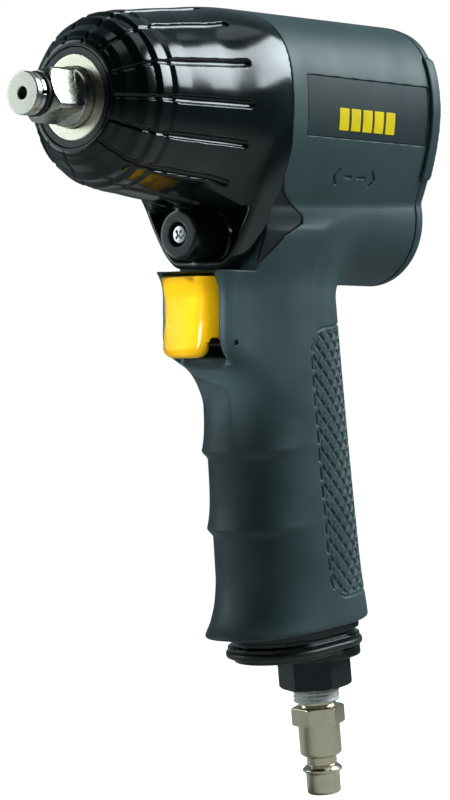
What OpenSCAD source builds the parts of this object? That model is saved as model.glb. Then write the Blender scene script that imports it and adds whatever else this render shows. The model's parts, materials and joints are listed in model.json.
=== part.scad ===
// Pneumatic impact wrench with a pistol grip and a square drive.
//
// Frame: the origin is on the drive axis, at the shoulder of the square drive.
// +X runs forward along the drive axis, +Y to the tool's left, +Z up.

/* [Drive] */
// Size of the square drive across its flats
drive_af = 12.7; // [9.5:0.1:13]
// Length of the square from its shoulder to its front plane
drive_len = 10.9; // [9:0.1:12]
// Turn of the square about the drive axis, in degrees
drive_turn = 20; // [0:1:90]

/* [Head] */
// Radius of the nose cover at the seam, and height of the barrel's top
barrel_r = 29.3; // [28.8:0.1:30]
// Half width of the barrel at the seam
seam_half_w = 29.6; // [29:0.1:30]
// Half width of the barrel at the rear
rear_half_w = 25.8; // [25.4:0.1:26.2]
// Distance from the shoulder back to the seam behind the nose cover
seam = 61.7; // [61.2:0.1:62.2]
// Distance from the shoulder back to the rear face
rear = 133.2; // [132.6:0.1:134]

/* [Grip] */
// Backward lean of the grip, in degrees
grip_lean = 7; // [5:0.5:9]
// Half width of the grip
grip_half_w = 17; // [16.5:0.1:18]
// Half depth of the grip below the trigger
grip_half_d = 22.8; // [22:0.1:24]
// Length of the grip below its reference point
grip_len = 67.3; // [64:0.1:72]

/* [Controls] */
// Travel of the trigger
trigger_travel = 5; // [3:0.5:5]
// Half width of the trigger
trigger_half_w = 9.8; // [9:0.1:10]
// Air gap round every sliding and turning part
run_gap = 0.05; // [0.03:0.01:0.08]

/* [Air inlet] */
// Hexagon of the inlet bush across its flats
inlet_af = 19; // [17:0.5:20]
// Hexagon of the air plug across its flats
plug_af = 14; // [13:0.5:15]
// Radius of the plug's tip
plug_tip_r = 5.05; // [4.8:0.05:5.2]

/* [Hidden] */

$fn = 64;
skin = 0.02;              // overshoot of a cut past the face it opens
thread_play = 0.15;       // gap left between a screw and the wall it threads into

// drive end
shank_r = 8.5;
drive_corner_r = shank_r - 0.2;
drive_bevel = 1.8;
disc_r = 6.1;
disc_front = drive_len + 5.6;
disc_t = 2;
neck_r = 4.6;
seal_wire_r = 0.9;
seal_back = drive_len + 0.05;
disc_bore_r = 1.7;
ring_bore_r = shank_r + run_gap;
ring_outer_r = 12.25;
ring_front = -3;
ring_back = -25;
snout_r = 14;
snout_end = 6;

// nose cover and hammer case
cover_t = 2;
seam_x = -seam;
gasket_t = 0.5;
gasket_r = 26.2;
gasket_inset = 1.5;
case_back = seam_x + gasket_t / 2;
housing_front = seam_x - gasket_t / 2;
cavity_r = 20.6;
cavity_front = -25;
cover_lip = 4;            // the cover's cavity starts this far behind the shoulder
flange_t = 6;             // part of the cover that has the section of the barrel
dome_end = 40;
dome_end_r = 27.8;
web_len = 18;
web_t = 4;
web_z = [-34, -24];
shield_t = 8;
shield_floor = 3;
shield_rim = 2;
boss_z = -36.7;
boss_r = 7.25;
boss_front = -45;
screw_head_r = 2.6;
screw_head_t = 2.2;
screw_recess_r = 3.5;
screw_r = 1.7;
screw_head_front = -45.4;
screw_tip = -70;

// outline of the nose cover: distance back from the shoulder, and radius
cover_profile = [
    [3, 14], [3.4, 16.6], [6, 19.2], [10, 22.5], [14, 24.3], [18, 25.4],
    [24, 26.1], [32, 27.1], [46, 28.3], [seam, barrel_r]
];

// hammer mechanism
hammer_front_x = -43.5;
hammer_rear_x = -55.5;
hammer_t = 10;
hammer_r = 16.1;
hammer_bore_r = 12;
jaw_r = 9;
jaw_angle = 34;
cage_r = 20.2;
cage_bar_r = 17.6;
cage_front = -31;
cage_ring_t = 2.2;
cage_rear = -60;
cage_back_t = 3.4;
cage_bore_r = 10.8;
cage_bar_angle = 44;
hammer_pin_back = cage_rear + 1.2;
hammer_pin_r = 2;
hammer_pin_y = 18.4;
ear_r = 4.2;
ear_limit_r = 19.6;
anvil_body_r = 8;
anvil_flange_x = [-30.4, -25.6];
anvil_flange_r = 10.4;
shank_back = -34;
lobe_angle = 40;
pilot_r = 3.9;            // end of the rotor that turns in the anvil
anvil_lobe_r = 10.6;
anvil_back = -56;

// motor
motor_r = 21;
dowel_r = 1;
dowel_z = motor_r - 1.9;
plate_t = 8;
front_plate_x = -64;
cylinder_front = front_plate_x - plate_t;
cylinder_len = 36;
cylinder_back = cylinder_front - cylinder_len;
rotor_r = 16.4;
rotor_gap = 0.1;
cylinder_bore_r = 18;
cylinder_lift = cylinder_bore_r - rotor_r - rotor_gap;
vane_count = 6;
vane_t = 1.6;
vane_depth = 7;
spline_teeth = 8;
spline_r = 5.4;
spline_front = -57.2;
pilot_front = -52;
shaft_r = 6;
bearing_r = 12;
bearing_t = 6;
ball_r = 1.6;
ball_pitch_r = 9;
ball_count = 10;
race_in_r = 8.1;
race_out_r = 9.9;

// rear
rear_x = -rear;
cover_seam_x = -127.9;
spigot_front = -124.8;
lug_front = -127;
lug_half_h = 18.5;
lug_proud = 1;
chamber_front = cylinder_back - plate_t;
front_bearing_x = front_plate_x - bearing_t;
rear_bearing_x = chamber_front;
valve_front = chamber_front - 0.6;
valve_t = 5;
valve_r = 17;
valve_stem_r = 4.5;
port_r = 1.8;
port_pitch_r = 14.4;
port_angle = 50;
dial_r = 12.6;
dial_seat_x = rear_x + 3.4;
dial_proud = 0.6;
detent_r = 1.25;
detent_pitch_r = 9;
detent_depth = 3.7;
detent_wire_r = 0.2;
detent_x = dial_seat_x + detent_r - 0.35;
tie_r = 2;
tie_pitch_r = 24.2;
tie_head_r = 3.3;
tie_front = -52;
tie_head_x = rear_x + 0.2;
tie_head_t = 2.2;

// barrel, belly and panels
crown_r = 64;
seam_top_r = 40;
rear_top_r = 33;
flank_z = [-29, -18];
flank_half_w = 19.3;
belly_r = 19.6;
belly_z = -30;
panel_depth = 0.7;
panel_recess = 0.2;
panel_x = [-126.2, -68.9];
panel_z = [-8.2, 9.1];
bars_x = [-109.8, -83.3];
bars_z = [-6.05, 0.45];
bar_w = 4.5;
bar_count = 5;
inset_t = 1.2;
inset_back = -76.8;
inset_z = [-43.5, -20];
inset_corner_z = -32;

// grip
grip_x = -86.2;
grip_z = -84.2;
grip_top = 52;
flare_z = -52;
low_half_d = grip_half_d + 0.6;
flare_half_d = 28;
flare_half_w = grip_half_w + 1.6;
shroud_front = -51;
shroud_half_w = 13.6;
shroud_back = -74;
shroud_r = 3;
lip_drop = 8;
shroud_z = [-76, -47];
pocket_half_w = trigger_half_w + 0.4;
pocket_floor = -64.6;
pocket_z = [-74, -47.6];

// trigger and throttle
valve_z = -61;
trigger_z = [-73.3, -48.7];
trigger_front = -45;
trigger_back = -57;
trigger_wall = 2.4;
hollow_front = -50;
hollow_h = 18.4;
boss_len = 4;
pin_x = -55.2;
pin_z = -67.8;
pin_r = 0.8;
slot_r = 1.45;
slot_x = pin_x + trigger_travel - 0.3;
rod_r = 1.85;
rod_front = -48.6;
seat_front = -79;
seat_t = 3;
seat_bore_r = 3.4;
valve_bore_r = 6;
valve_bore_back = -100;
throttle_t = 4;
throttle_r = 5.2;
throttle_stem_r = 1.8;
throttle_stem_len = 6;
spring_wire_r = 0.45;
spring_r = 3.6;
spring_turns = 6;

// air inlet, collar and passages, in the grip's own leaning frame
inlet_x = -8;
thread_r = 8.2;
inlet_bore_r = 5;
collar_half_d = 21.8;
collar_half_w = 15.6;
collar_t = 8.8;
collar_step = 1.5;
collar_bottom = -grip_len - collar_t;
bead_top = -grip_len - 5.2;
bead_t = 2.2;
bead_proud = 0.6;
inlet_plate_t = 2;
inlet_plate_r = 14.2;
seal_t = 1.2;
seal_ring_w = 1.6;
bush_top = collar_bottom - inlet_plate_t;
bush_hex_t = 9.2;
bush_turn = 8;
bush_grip = 14;
tape_t = 4.2;
tape_wall = 0.45;
plug_thread_r = 6.5;
plug_thread_len = 8.5;
plug_top = bush_top - bush_hex_t;
plug_neck = 5.9;
plug_hex_z = plug_top - plug_neck;
plug_hex_t = 5.4;
plug_turn = 20;
plug_body_r = 6.25;
plug_body_len = 9;
plug_neck_r = 4.5;
plug_bead_r = 5.95;
plug_bore_r = 3.6;
chamber_x = 8.5;
chamber_half_d = 13;
chamber_half_w = 12;
chamber_depth = 8;
chamber_wall = 2.2;
exhaust_r = 3;
exhaust_x = -2;
riser_x = -75.3;
passage_z = -26.5;
passage_r = 3.2;
exhaust_y = 10.6;

// ---- shared shapes ----

// Solid of revolution about the drive axis; profile holds [distance back, radius] pairs.
module turned_back(profile) {
    outline = [for (p = profile) [p[1], -p[0]]];
    closed = concat([[0, -profile[0][0]]], outline, [[0, -profile[len(profile) - 1][0]]]);
    rotate([0, 90, 0])
        rotate_extrude()
            polygon(closed);
}

// Round bar along X between two stations.
module bar(x0, x1, r, y = 0, z = 0) {
    translate([min(x0, x1), y, z])
        rotate([0, 90, 0])
            cylinder(h = abs(x1 - x0), r = r);
}

// Ring along X between two stations.
module ring(x0, x1, r_out, r_in) {
    difference() {
        bar(x0, x1, r_out);
        bar(min(x0, x1) - skin, max(x0, x1) + skin, r_in);
    }
}

// Places children in the leaning frame of the grip.
module in_grip() {
    translate([grip_x, 0, grip_z])
        rotate([0, grip_lean, 0])
            children();
}

// Oval with straight sides, long way along X.
module oval(half_d, half_w) {
    for (s = [-1, 1])
        translate([s * (half_d - half_w), 0])
            circle(half_w);
    square([2 * (half_d - half_w), 2 * half_w], center = true);
}

// Oval slab in the grip's frame.
module oval_slab(z0, z1, half_d, half_w, shift = 0) {
    translate([shift, 0, z0])
        linear_extrude(z1 - z0)
            oval(half_d, half_w);
}

// Repeats children at the four case screws.
module at_case_screws() {
    for (a = [45:90:315])
        rotate([a, 0, 0])
            translate([0, tie_pitch_r, 0])
                children();
}

// Wedge-shaped sector about the drive axis, centred on +Y before it is turned.
module sector(x0, x1, r_in, r_out, width, turn = 0) {
    rotate([turn, 0, 0])
        translate([min(x0, x1), 0, 0])
            rotate([0, 90, 0])
                linear_extrude(abs(x1 - x0))
                    intersection() {
                        difference() {
                            circle(r_out);
                            circle(r_in);
                        }
                        polygon([[0, 0], [-2 * r_out * tan(width / 2), 2 * r_out],
                                 [2 * r_out * tan(width / 2), 2 * r_out]]);
                    }
}

// Section of the barrel at a station: crowned sides under a rounder top, narrowing to the rear.
module barrel_section(x, shrink = 0) {
    back = (x - seam_x) / (rear_x - seam_x);
    half_w = seam_half_w + (rear_half_w - seam_half_w) * back;
    top_r = seam_top_r + (rear_top_r - seam_top_r) * back;
    low_half_w = half_w - crown_r + sqrt(pow(crown_r, 2) - pow(flank_z[1], 2));
    intersection() {
        translate([top_r - barrel_r, 0])
            circle(top_r - shrink, $fn = 96);
        side_lens(half_w)
            circle(crown_r - shrink, $fn = 128);
        polygon([[-40, -40], [-40, 40], [-flank_z[1], low_half_w - shrink],
                 [-flank_z[0], flank_half_w - shrink], [-flank_z[0], shrink - flank_half_w],
                 [-flank_z[1], shrink - low_half_w]]);
    }
}

// Both side crowns of a section, as one lens-shaped outline.
module side_lens(half_w) {
    intersection() {
        translate([0, half_w - crown_r]) children();
        translate([0, crown_r - half_w]) children();
    }
}

// Barrel section lofted along X between two stations.
module barrel(x0, x1, shrink = 0) {
    hull()
        for (x = [max(x0, x1) - skin, min(x0, x1)])
            translate([x, 0, 0])
                rotate([0, 90, 0])
                    linear_extrude(skin)
                        barrel_section(x, shrink);
}

// Slice of the barrel's crowned skin, as deep as the panel, on both sides.
module side_skin(x_range, z_range, depth, proud = 0) {
    intersection() {
        difference() {
            barrel(x_range[1] + 1, x_range[0] - 1, -proud);
            barrel(x_range[1] + 2, x_range[0] - 2, depth);
        }
        for (s = [-1, 1])
            translate([x_range[0], s > 0 ? 10 : -40, z_range[0]])
                cube([x_range[1] - x_range[0], 30, z_range[1] - z_range[0]]);
    }
}

// ---- nose ----

// Half outline of the shield under the nose: depth below the axis, and half width.
shield_outline = [[16, 27.4], [22.7, 25.1], [30.1, 21.7], [38.9, 16.9], [43.6, 13.3], [46.6, 9.5]];

module shield(depth, inset = 0) {
    side = [for (p = shield_outline) [p[0] - inset, p[1] - inset]];
    other = [for (i = [len(side) - 1:-1:0]) [side[i][0], -side[i][1]]];
    translate([seam_x, 0, 0])
        rotate([0, 90, 0])
            linear_extrude(depth)
                polygon(concat(side, other));
}

module nose_cover() {
    inner = [for (p = cover_profile) if (p[0] > cover_lip) [p[0], p[1] - cover_t]];
    color([0.06, 0.07, 0.08])
        difference() {
            union() {
                turned_back(cover_profile);
                hull() {
                    bar(-dome_end, -dome_end - 1, dome_end_r);
                    translate([seam_x, 0, 0])
                        rotate([0, 90, 0])
                            linear_extrude(flange_t)
                                barrel_section(seam_x);
                }
                difference() {
                    shield(shield_t);
                    translate([shield_floor, 0, 0])
                        shield(shield_t, shield_rim);
                }
                bar(seam_x, boss_front, boss_r, 0, boss_z);
                translate([seam_x, -web_t / 2, web_z[0]])
                    cube([web_len, web_t, web_z[1] - web_z[0]]);
            }
            turned_back(concat(inner, [[seam + 1, barrel_r - cover_t]]));
            bar(seam_x, 0, snout_r + 2 * run_gap);
            bar(seam_x - 1, boss_front + 1, screw_r + thread_play, 0, boss_z);
            bar(screw_head_front - screw_head_t - 0.2, boss_front + 1, screw_recess_r, 0, boss_z);
        }
}

module cover_screw() {
    color("silver")
        difference() {
            union() {
                bar(screw_tip, screw_head_front, screw_r, 0, boss_z);
                bar(screw_head_front - screw_head_t, screw_head_front, screw_head_r, 0, boss_z);
            }
            for (a = [45, 135])
                translate([screw_head_front, 0, boss_z])
                    rotate([a, 0, 0])
                        cube([2.4, 3.4, 0.8], center = true);
        }
}

module hammer_case() {
    shell = [for (p = cover_profile) if (p[0] > snout_end) [p[0], p[1] - cover_t]];
    color([0.55, 0.56, 0.57])
        difference() {
            union() {
                bar(-snout_end - 2, ring_front, snout_r);
                turned_back(concat([[snout_end, snout_r]], shell));
            }
            bar(ring_back - skin, 1, ring_outer_r);
            bar(seam_x - 1, case_back, barrel_r);
            bar(case_back - 1, cavity_front, cavity_r);
            at_case_screws()
                bar(case_back - 1, tie_front, tie_r + thread_play);
        }
}

module nose_ring() {
    color([0.86, 0.84, 0.74])
        ring(ring_back, ring_front, ring_outer_r, ring_bore_r);
}

// Lobe that a hammer's jaw strikes.
module anvil_lobe(x0, turn) {
    sector(x0 - 0.4, x0 + hammer_t - 0.6, anvil_body_r - 1, anvil_lobe_r, lobe_angle, turn);
}

module anvil() {
    color([0.72, 0.72, 0.66])
        difference() {
            union() {
                intersection() {
                    rotate([drive_turn, 0, 0])
                        translate([0, -drive_af / 2, -drive_af / 2])
                            cube([drive_len, drive_af, drive_af]);
                    turned_back([[-drive_len, drive_corner_r - drive_bevel],
                                 [-drive_len + drive_bevel, drive_corner_r], [0.5, drive_corner_r]]);
                }
                bar(drive_len - skin, disc_front - disc_t, neck_r);
                bar(disc_front - disc_t, disc_front, disc_r);
                bar(shank_back, 0, shank_r);
                bar(anvil_flange_x[0], anvil_flange_x[1], anvil_flange_r);
                bar(anvil_back, shank_back, anvil_body_r);
                anvil_lobe(hammer_front_x, 90);
                anvil_lobe(hammer_rear_x, -90);
            }
            bar(disc_front - 6, disc_front + 1, disc_bore_r);
            bar(anvil_back - 1, anvil_back + 8, pilot_r + 0.1);
        }
}

module socket_ring() {
    color([0.5, 0.5, 0.48])
        difference() {
            ring(seal_back + 2 * seal_wire_r + 0.05, disc_front - disc_t - 0.1, disc_r - 0.1, neck_r);
            translate([0, 3, -0.5])
                cube([disc_front, 4, 1]);
        }
}

module socket_seal() {
    color([0.07, 0.07, 0.07])
        translate([seal_back + seal_wire_r, 0, 0])
            rotate([0, 90, 0])
                rotate_extrude()
                    translate([neck_r + seal_wire_r, 0])
                        circle(seal_wire_r, $fn = 24);
}

// ---- hammer mechanism ----

module hammer_cage() {
    color([0.42, 0.43, 0.45])
        difference() {
            union() {
                ring(cage_front - cage_ring_t, cage_front, cage_r, cage_bore_r);
                bar(cage_rear, cage_rear + cage_back_t, cage_r);
                for (a = [90, 270])
                    sector(cage_rear, cage_front, cage_bar_r, cage_r, cage_bar_angle, a);
            }
            for (s = [-1, 1])
                bar(hammer_pin_back, cage_front + 1, hammer_pin_r, s * hammer_pin_y, 0);
            spline(cage_rear - 1, cage_rear + 5, run_gap);
        }
}

// Ring-shaped hammer with an inner jaw, and an ear whose socket rocks on the pin.
module hammer(x0, turn) {
    rotate([turn, 0, 0])
        difference() {
            union() {
                ring(x0, x0 + hammer_t, hammer_r, hammer_bore_r);
                sector(x0, x0 + hammer_t, jaw_r, hammer_bore_r + 0.5, jaw_angle, 0);
                difference() {
                    intersection() {
                        bar(x0, x0 + hammer_t, ear_r, -hammer_pin_y, 0);
                        bar(x0, x0 + hammer_t, ear_limit_r);
                    }
                    bar(x0 - 1, x0 + hammer_t + 1, hammer_r - 1);
                }
            }
            bar(x0 - 1, x0 + hammer_t + 1, hammer_pin_r + run_gap, -hammer_pin_y, 0);
        }
}

module hammer_front() {
    color([0.36, 0.37, 0.39]) hammer(hammer_front_x, 0);
}

module hammer_rear() {
    color([0.36, 0.37, 0.39]) hammer(hammer_rear_x, 180);
}

module hammer_pins() {
    color("silver")
        for (s = [-1, 1])
            bar(hammer_pin_back, cage_front, hammer_pin_r, s * hammer_pin_y, 0);
}

module case_gasket() {
    color([0.25, 0.3, 0.28])
        difference() {
            bar(housing_front, case_back, gasket_r);
            bar(housing_front - 1, case_back + 1, motor_r);
            at_case_screws()
                bar(housing_front - 1, case_back + 1, tie_r + thread_play);
        }
}

// ---- housing and grip ----

module grip_body() {
    hull() {
        in_grip() oval_slab(grip_top, grip_top + 1, grip_half_d - 0.5, grip_half_w, $fn = 48);
        in_grip() oval_slab(flare_z, flare_z + 1, low_half_d, grip_half_w, $fn = 48);
    }
    hull() {
        in_grip() oval_slab(flare_z, flare_z + 1, low_half_d, grip_half_w, $fn = 48);
        in_grip() oval_slab(-grip_len, 1 - grip_len, flare_half_d, flare_half_w, 2, $fn = 48);
    }
}

module shroud() {
    high = shroud_z[1] - shroud_z[0];
    hull()
        for (s = [-1, 1]) {
            translate([shroud_front - shroud_r, s * (shroud_half_w - shroud_r), shroud_z[0]])
                cylinder(h = high, r = shroud_r, $fn = 32);
            translate([shroud_back, s * (shroud_half_w - shroud_r), shroud_z[0] - lip_drop])
                cylinder(h = high + lip_drop, r = shroud_r, $fn = 32);
        }
}

module motor_housing() {
    color([0.29, 0.33, 0.34])
        difference() {
            union() {
                barrel(housing_front, cover_seam_x);
                bar(cover_seam_x, housing_front, belly_r, 0, belly_z);
                grip_body();
                shroud();
            }
            translate([housing_front, -barrel_r - 10, shroud_z[1]])
                cube([40, 2 * barrel_r + 20, 80]);
            bar(cover_seam_x - 1, housing_front + 1, motor_r);
            at_case_screws()
                bar(cover_seam_x - 1, housing_front + 1, tie_r + thread_play);
            bar(screw_tip - 1, housing_front + 1, screw_r + thread_play, 0, boss_z);
            // trigger pocket, pin holes and throttle bore
            translate([pocket_floor, -pocket_half_w, pocket_z[0]])
                cube([20, 2 * pocket_half_w, pocket_z[1] - pocket_z[0]]);
            translate([pin_x, 0, pin_z])
                rotate([90, 0, 0])
                    cylinder(h = 40, r = pin_r, center = true);
            bar(valve_bore_back, pocket_floor + 1, valve_bore_r, 0, valve_z);
            // riser from the throttle to the passage under the cylinder, and on to the rear chamber
            translate([riser_x, 0, valve_z])
                cylinder(h = passage_z - valve_z, r = passage_r);
            bar(cover_seam_x - 1, riser_x + passage_r, passage_r, 0, passage_z);
            translate([chamber_front - 8, -passage_r, passage_z])
                cube([6, 2 * passage_r, -passage_z - motor_r + 4]);
            // inlet bore and thread, two exhaust passages and the exhaust chamber
            in_grip() {
                translate([inlet_x, 0, -grip_len - 1])
                    cylinder(h = grip_len + 22, r = inlet_bore_r);
                translate([inlet_x, 0, -grip_len - 1])
                    cylinder(h = 17, r = thread_r);
                for (s = [-1, 1])
                    translate([exhaust_x, s * exhaust_y, -grip_len - 1])
                        cylinder(h = grip_len + 68, r = exhaust_r);
                translate([0, 0, -grip_len - skin])
                    linear_extrude(chamber_depth)
                        chamber_plan();
            }
            // seats of the panels and insets
            side_skin([panel_x[0] - 0.1, panel_x[1] + 0.1], [panel_z[0] - 0.1, panel_z[1] + 0.1],
                      panel_depth);
            inset_cut(0.1);
        }
}

// Three-cornered inset behind the seam, cut through both sides of the belly.
module inset_outline(grow) {
    high = inset_z[1] + grow;
    polygon([[housing_front + 1, high], [housing_front - 1, high],
             [inset_back - grow, inset_corner_z + 1], [inset_back - grow, inset_corner_z - 1],
             [housing_front + 1, inset_z[0] - grow]]);
}

// Space that the insets fill, down to their seats in the belly and the barrel.
module inset_cut(grow = 0) {
    difference() {
        rotate([90, 0, 0])
            linear_extrude(80, center = true)
                inset_outline(grow);
        bar(-80, -50, belly_r - inset_t, 0, belly_z);
        barrel(housing_front + 2, -80, inset_t);
    }
}

module side_insets() {
    color([0.12, 0.14, 0.15])
        intersection() {
            inset_cut(0);
            union() {
                bar(housing_front, -80, belly_r - inset_t / 4, 0, belly_z);
                barrel(housing_front, -80, inset_t / 4);
            }
        }
}

// Smooth plates sunk in both sides of the barrel.
module name_panels() {
    color([0.18, 0.23, 0.24])
        side_skin(panel_x, panel_z, panel_depth - run_gap, -panel_recess);
}

// Row of plain bars on each panel, flush with the barrel.
module panel_bars() {
    pitch = (bars_x[1] - bars_x[0] - bar_w) / (bar_count - 1);
    color([1, 0.87, 0])
        intersection() {
            side_skin(bars_x, bars_z, panel_recess - skin);
            for (i = [0:bar_count - 1])
                translate([bars_x[0] + i * pitch, -barrel_r - 10, bars_z[0]])
                    cube([bar_w, 2 * barrel_r + 20, bars_z[1] - bars_z[0]]);
        }
}

module case_screws() {
    color("silver")
        at_case_screws()
            difference() {
                union() {
                    bar(tie_head_x + tie_head_t, tie_front - 2, tie_r);
                    bar(tie_head_x, tie_head_x + tie_head_t, tie_head_r - 0.2);
                }
                translate([tie_head_x - 1, 0, 0])
                    rotate([0, 90, 0])
                        cylinder(h = 2.6, r = 1.8, $fn = 6);
            }
}

// ---- motor ----

module spline(x0, x1, grow = 0) {
    bar(x0, x1, spline_r - 0.8 + grow);
    for (i = [0:spline_teeth - 1])
        rotate([i * 360 / spline_teeth, 0, 0])
            translate([x0, -0.9 - grow, 0])
                cube([x1 - x0, 1.8 + 2 * grow, spline_r + grow]);
}

// Bearing plate; the bearing pocket opens towards the given side.
module end_plate(x0, pocket_front) {
    difference() {
        bar(x0, x0 + plate_t, motor_r);
        bar(x0 - 1, x0 + plate_t + 1, shaft_r + 1.2);
        bar(pocket_front ? x0 + plate_t - bearing_t : x0 - 1,
            pocket_front ? x0 + plate_t + 1 : x0 + bearing_t, bearing_r);
        bar(x0 - 1, x0 + plate_t + 1, dowel_r + run_gap, 0, dowel_z);
    }
}

module front_end_plate() {
    color([0.6, 0.61, 0.62]) end_plate(cylinder_front, true);
}

module rear_end_plate() {
    color([0.6, 0.61, 0.62])
        difference() {
            end_plate(chamber_front, false);
            for (a = [-port_angle, port_angle])
                rotate([a, 0, 0])
                    bar(chamber_front - 1, cylinder_back + 1, port_r, 0, -port_pitch_r);
        }
}

module motor_cylinder() {
    color([0.66, 0.67, 0.68])
        difference() {
            bar(cylinder_back, cylinder_front, motor_r);
            bar(cylinder_back - 1, cylinder_front + 1, cylinder_bore_r, 0, cylinder_lift);
            bar(cylinder_back - 1, cylinder_front + 1, dowel_r + run_gap, 0, dowel_z);
            for (i = [0:3], s = [-1, 1])
                translate([cylinder_back + 9 + i * 6, s * exhaust_y, -motor_r - 1])
                    linear_extrude(12) circle(1.6);
        }
}

module cylinder_dowel() {
    color("silver")
        bar(chamber_front + 1, front_plate_x - 1, dowel_r, 0, dowel_z);
}

module rotor() {
    color([0.5, 0.51, 0.52])
        difference() {
            union() {
                bar(cylinder_back + rotor_gap, cylinder_front - rotor_gap, rotor_r);
                bar(cylinder_front - rotor_gap, front_plate_x + 2, shaft_r);
                spline(front_plate_x + 2, spline_front);
                bar(spline_front, pilot_front, pilot_r);
                bar(chamber_front + 0.6, cylinder_back + rotor_gap, shaft_r);
            }
            for (i = [0:vane_count - 1])
                rotate([i * 360 / vane_count, 0, 0])
                    translate([cylinder_back - 1, -vane_t / 2, rotor_r - vane_depth])
                        cube([cylinder_len + 2, vane_t, vane_depth + 1]);
        }
}

module rotor_vanes() {
    color([0.35, 0.24, 0.14])
        for (i = [0:vane_count - 1])
            rotate([i * 360 / vane_count, 0, 0])
                translate([cylinder_back + 0.3, run_gap - vane_t / 2, rotor_r - vane_depth])
                    cube([cylinder_len - 0.6, vane_t - 2 * run_gap, vane_depth - 0.4]);
}

module outer_race(x0) {
    difference() {
        ring(x0, x0 + bearing_t, bearing_r, race_out_r);
        ball_track(x0);
    }
}

module inner_race(x0) {
    difference() {
        ring(x0, x0 + bearing_t, race_in_r, shaft_r);
        ball_track(x0);
    }
}

module ball_track(x0) {
    translate([x0 + bearing_t / 2, 0, 0])
        rotate([0, 90, 0])
            rotate_extrude()
                translate([ball_pitch_r, 0])
                    circle(ball_r + run_gap, $fn = 32);
}

module ball_set(x0) {
    for (i = [0:ball_count - 1])
        rotate([i * 360 / ball_count, 0, 0])
            translate([x0 + bearing_t / 2, 0, ball_pitch_r])
                sphere(ball_r, $fn = 32);
}

module front_outer_race() { color([0.75, 0.76, 0.78]) outer_race(front_bearing_x); }
module front_inner_race() { color([0.75, 0.76, 0.78]) inner_race(front_bearing_x); }
module front_balls() { color("silver") ball_set(front_bearing_x); }
module rear_outer_race() { color([0.75, 0.76, 0.78]) outer_race(rear_bearing_x); }
module rear_inner_race() { color([0.75, 0.76, 0.78]) inner_race(rear_bearing_x); }
module rear_balls() { color("silver") ball_set(rear_bearing_x); }

// ---- rear end ----

module reverse_valve() {
    color([0.8, 0.7, 0.4])
        difference() {
            union() {
                bar(valve_front - valve_t, valve_front, valve_r);
                bar(dial_seat_x - 0.4, valve_front - valve_t + 1, valve_stem_r);
            }
            for (a = [-40, 40], k = [-12:6:12])
                rotate([a + k, 0, 0])
                    bar(valve_front - valve_t - 1, valve_front + 1, port_r, 0, -port_pitch_r);
        }
}

module rear_gasket() {
    color([0.25, 0.3, 0.28])
        difference() {
            union() {
                barrel(cover_seam_x, cover_seam_x - gasket_t, gasket_inset);
                bar(cover_seam_x, cover_seam_x - gasket_t, belly_r - gasket_inset, 0, belly_z);
            }
            bar(cover_seam_x - 2, cover_seam_x + 1, motor_r);
            at_case_screws()
                bar(cover_seam_x - 2, cover_seam_x + 1, tie_r + thread_play);
        }
}

// Pads that stand proud of the barrel's sides at the rear, over the end of the housing.
module side_lugs(flange_front) {
    difference() {
        intersection() {
            barrel(lug_front, rear_x, -lug_proud);
            translate([rear_x - 1, -barrel_r, -lug_half_h])
                cube([lug_front - rear_x + 1, 2 * barrel_r, 2 * lug_half_h]);
        }
        barrel(lug_front + 1, flange_front, -run_gap);
    }
}

module rear_cover() {
    flange_front = cover_seam_x - gasket_t;
    color([0.27, 0.31, 0.32])
        difference() {
            union() {
                barrel(flange_front, rear_x);
                bar(flange_front, rear_x, belly_r, 0, belly_z);
                bar(spigot_front, flange_front, motor_r - run_gap);
                side_lugs(flange_front);
            }
            bar(spigot_front - 0.6, spigot_front + 1, valve_r + 1);
            bar(rear_x - 1, spigot_front + 1, valve_stem_r + run_gap);
            bar(rear_x - 1, dial_seat_x, dial_r + 0.3);
            at_case_screws() {
                bar(rear_x - 1, flange_front + 1, tie_r + thread_play);
                bar(rear_x - 1, tie_head_x + tie_head_t, tie_head_r);
            }
            bar(dial_seat_x - 1, dial_seat_x + detent_depth, detent_r + run_gap, 0, detent_pitch_r);
        }
}

module reverse_dial() {
    color([0.1, 0.11, 0.12])
        difference() {
            union() {
                bar(rear_x + 0.4, dial_seat_x - run_gap, dial_r);
                translate([rear_x - dial_proud, -2.2, -dial_r + 1.2])
                    cube([1.4, 4.4, 2 * dial_r - 2.4]);
            }
            bar(dial_seat_x - 0.4, dial_seat_x + 1, valve_stem_r);
            rotate([0, 90, 0])
                rotate_extrude()
                    translate([detent_pitch_r, detent_x])
                        circle(detent_r + run_gap, $fn = 24);
        }
}

module detent_ball() {
    color("silver")
        translate([detent_x, 0, detent_pitch_r])
            sphere(detent_r, $fn = 32);
}

// Coil spring along Z as one closed tube, six-sided in section.
module coil(wire_r, coil_r, turns, length, steps = 14) {
    sides = 6;
    rings = steps * turns;
    function spot(i, j) = let (
        a = 360 * i / steps,
        b = 360 * j / sides,
        r = coil_r + wire_r * cos(b)
    ) [r * cos(a), r * sin(a), length * i / rings + wire_r * sin(b)];
    points = [for (i = [0:rings], j = [0:sides - 1]) spot(i, j)];
    walls = [for (i = [0:rings - 1], j = [0:sides - 1])
        let (n = (j + 1) % sides)
        [i * sides + j, (i + 1) * sides + j, (i + 1) * sides + n, i * sides + n]];
    start = [for (j = [0:sides - 1]) j];
    finish = [for (j = [sides - 1:-1:0]) rings * sides + j];
    polyhedron(points, concat([start], walls, [finish]), convexity = 8);
}

module detent_spring() {
    from = detent_x + detent_r + run_gap;
    to = dial_seat_x + detent_depth - detent_wire_r - run_gap;
    color("silver")
        translate([from, 0, detent_pitch_r])
            rotate([0, 90, 0])
                coil(detent_wire_r, 0.8, 2, to - from);
}

// ---- trigger and throttle ----

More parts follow.
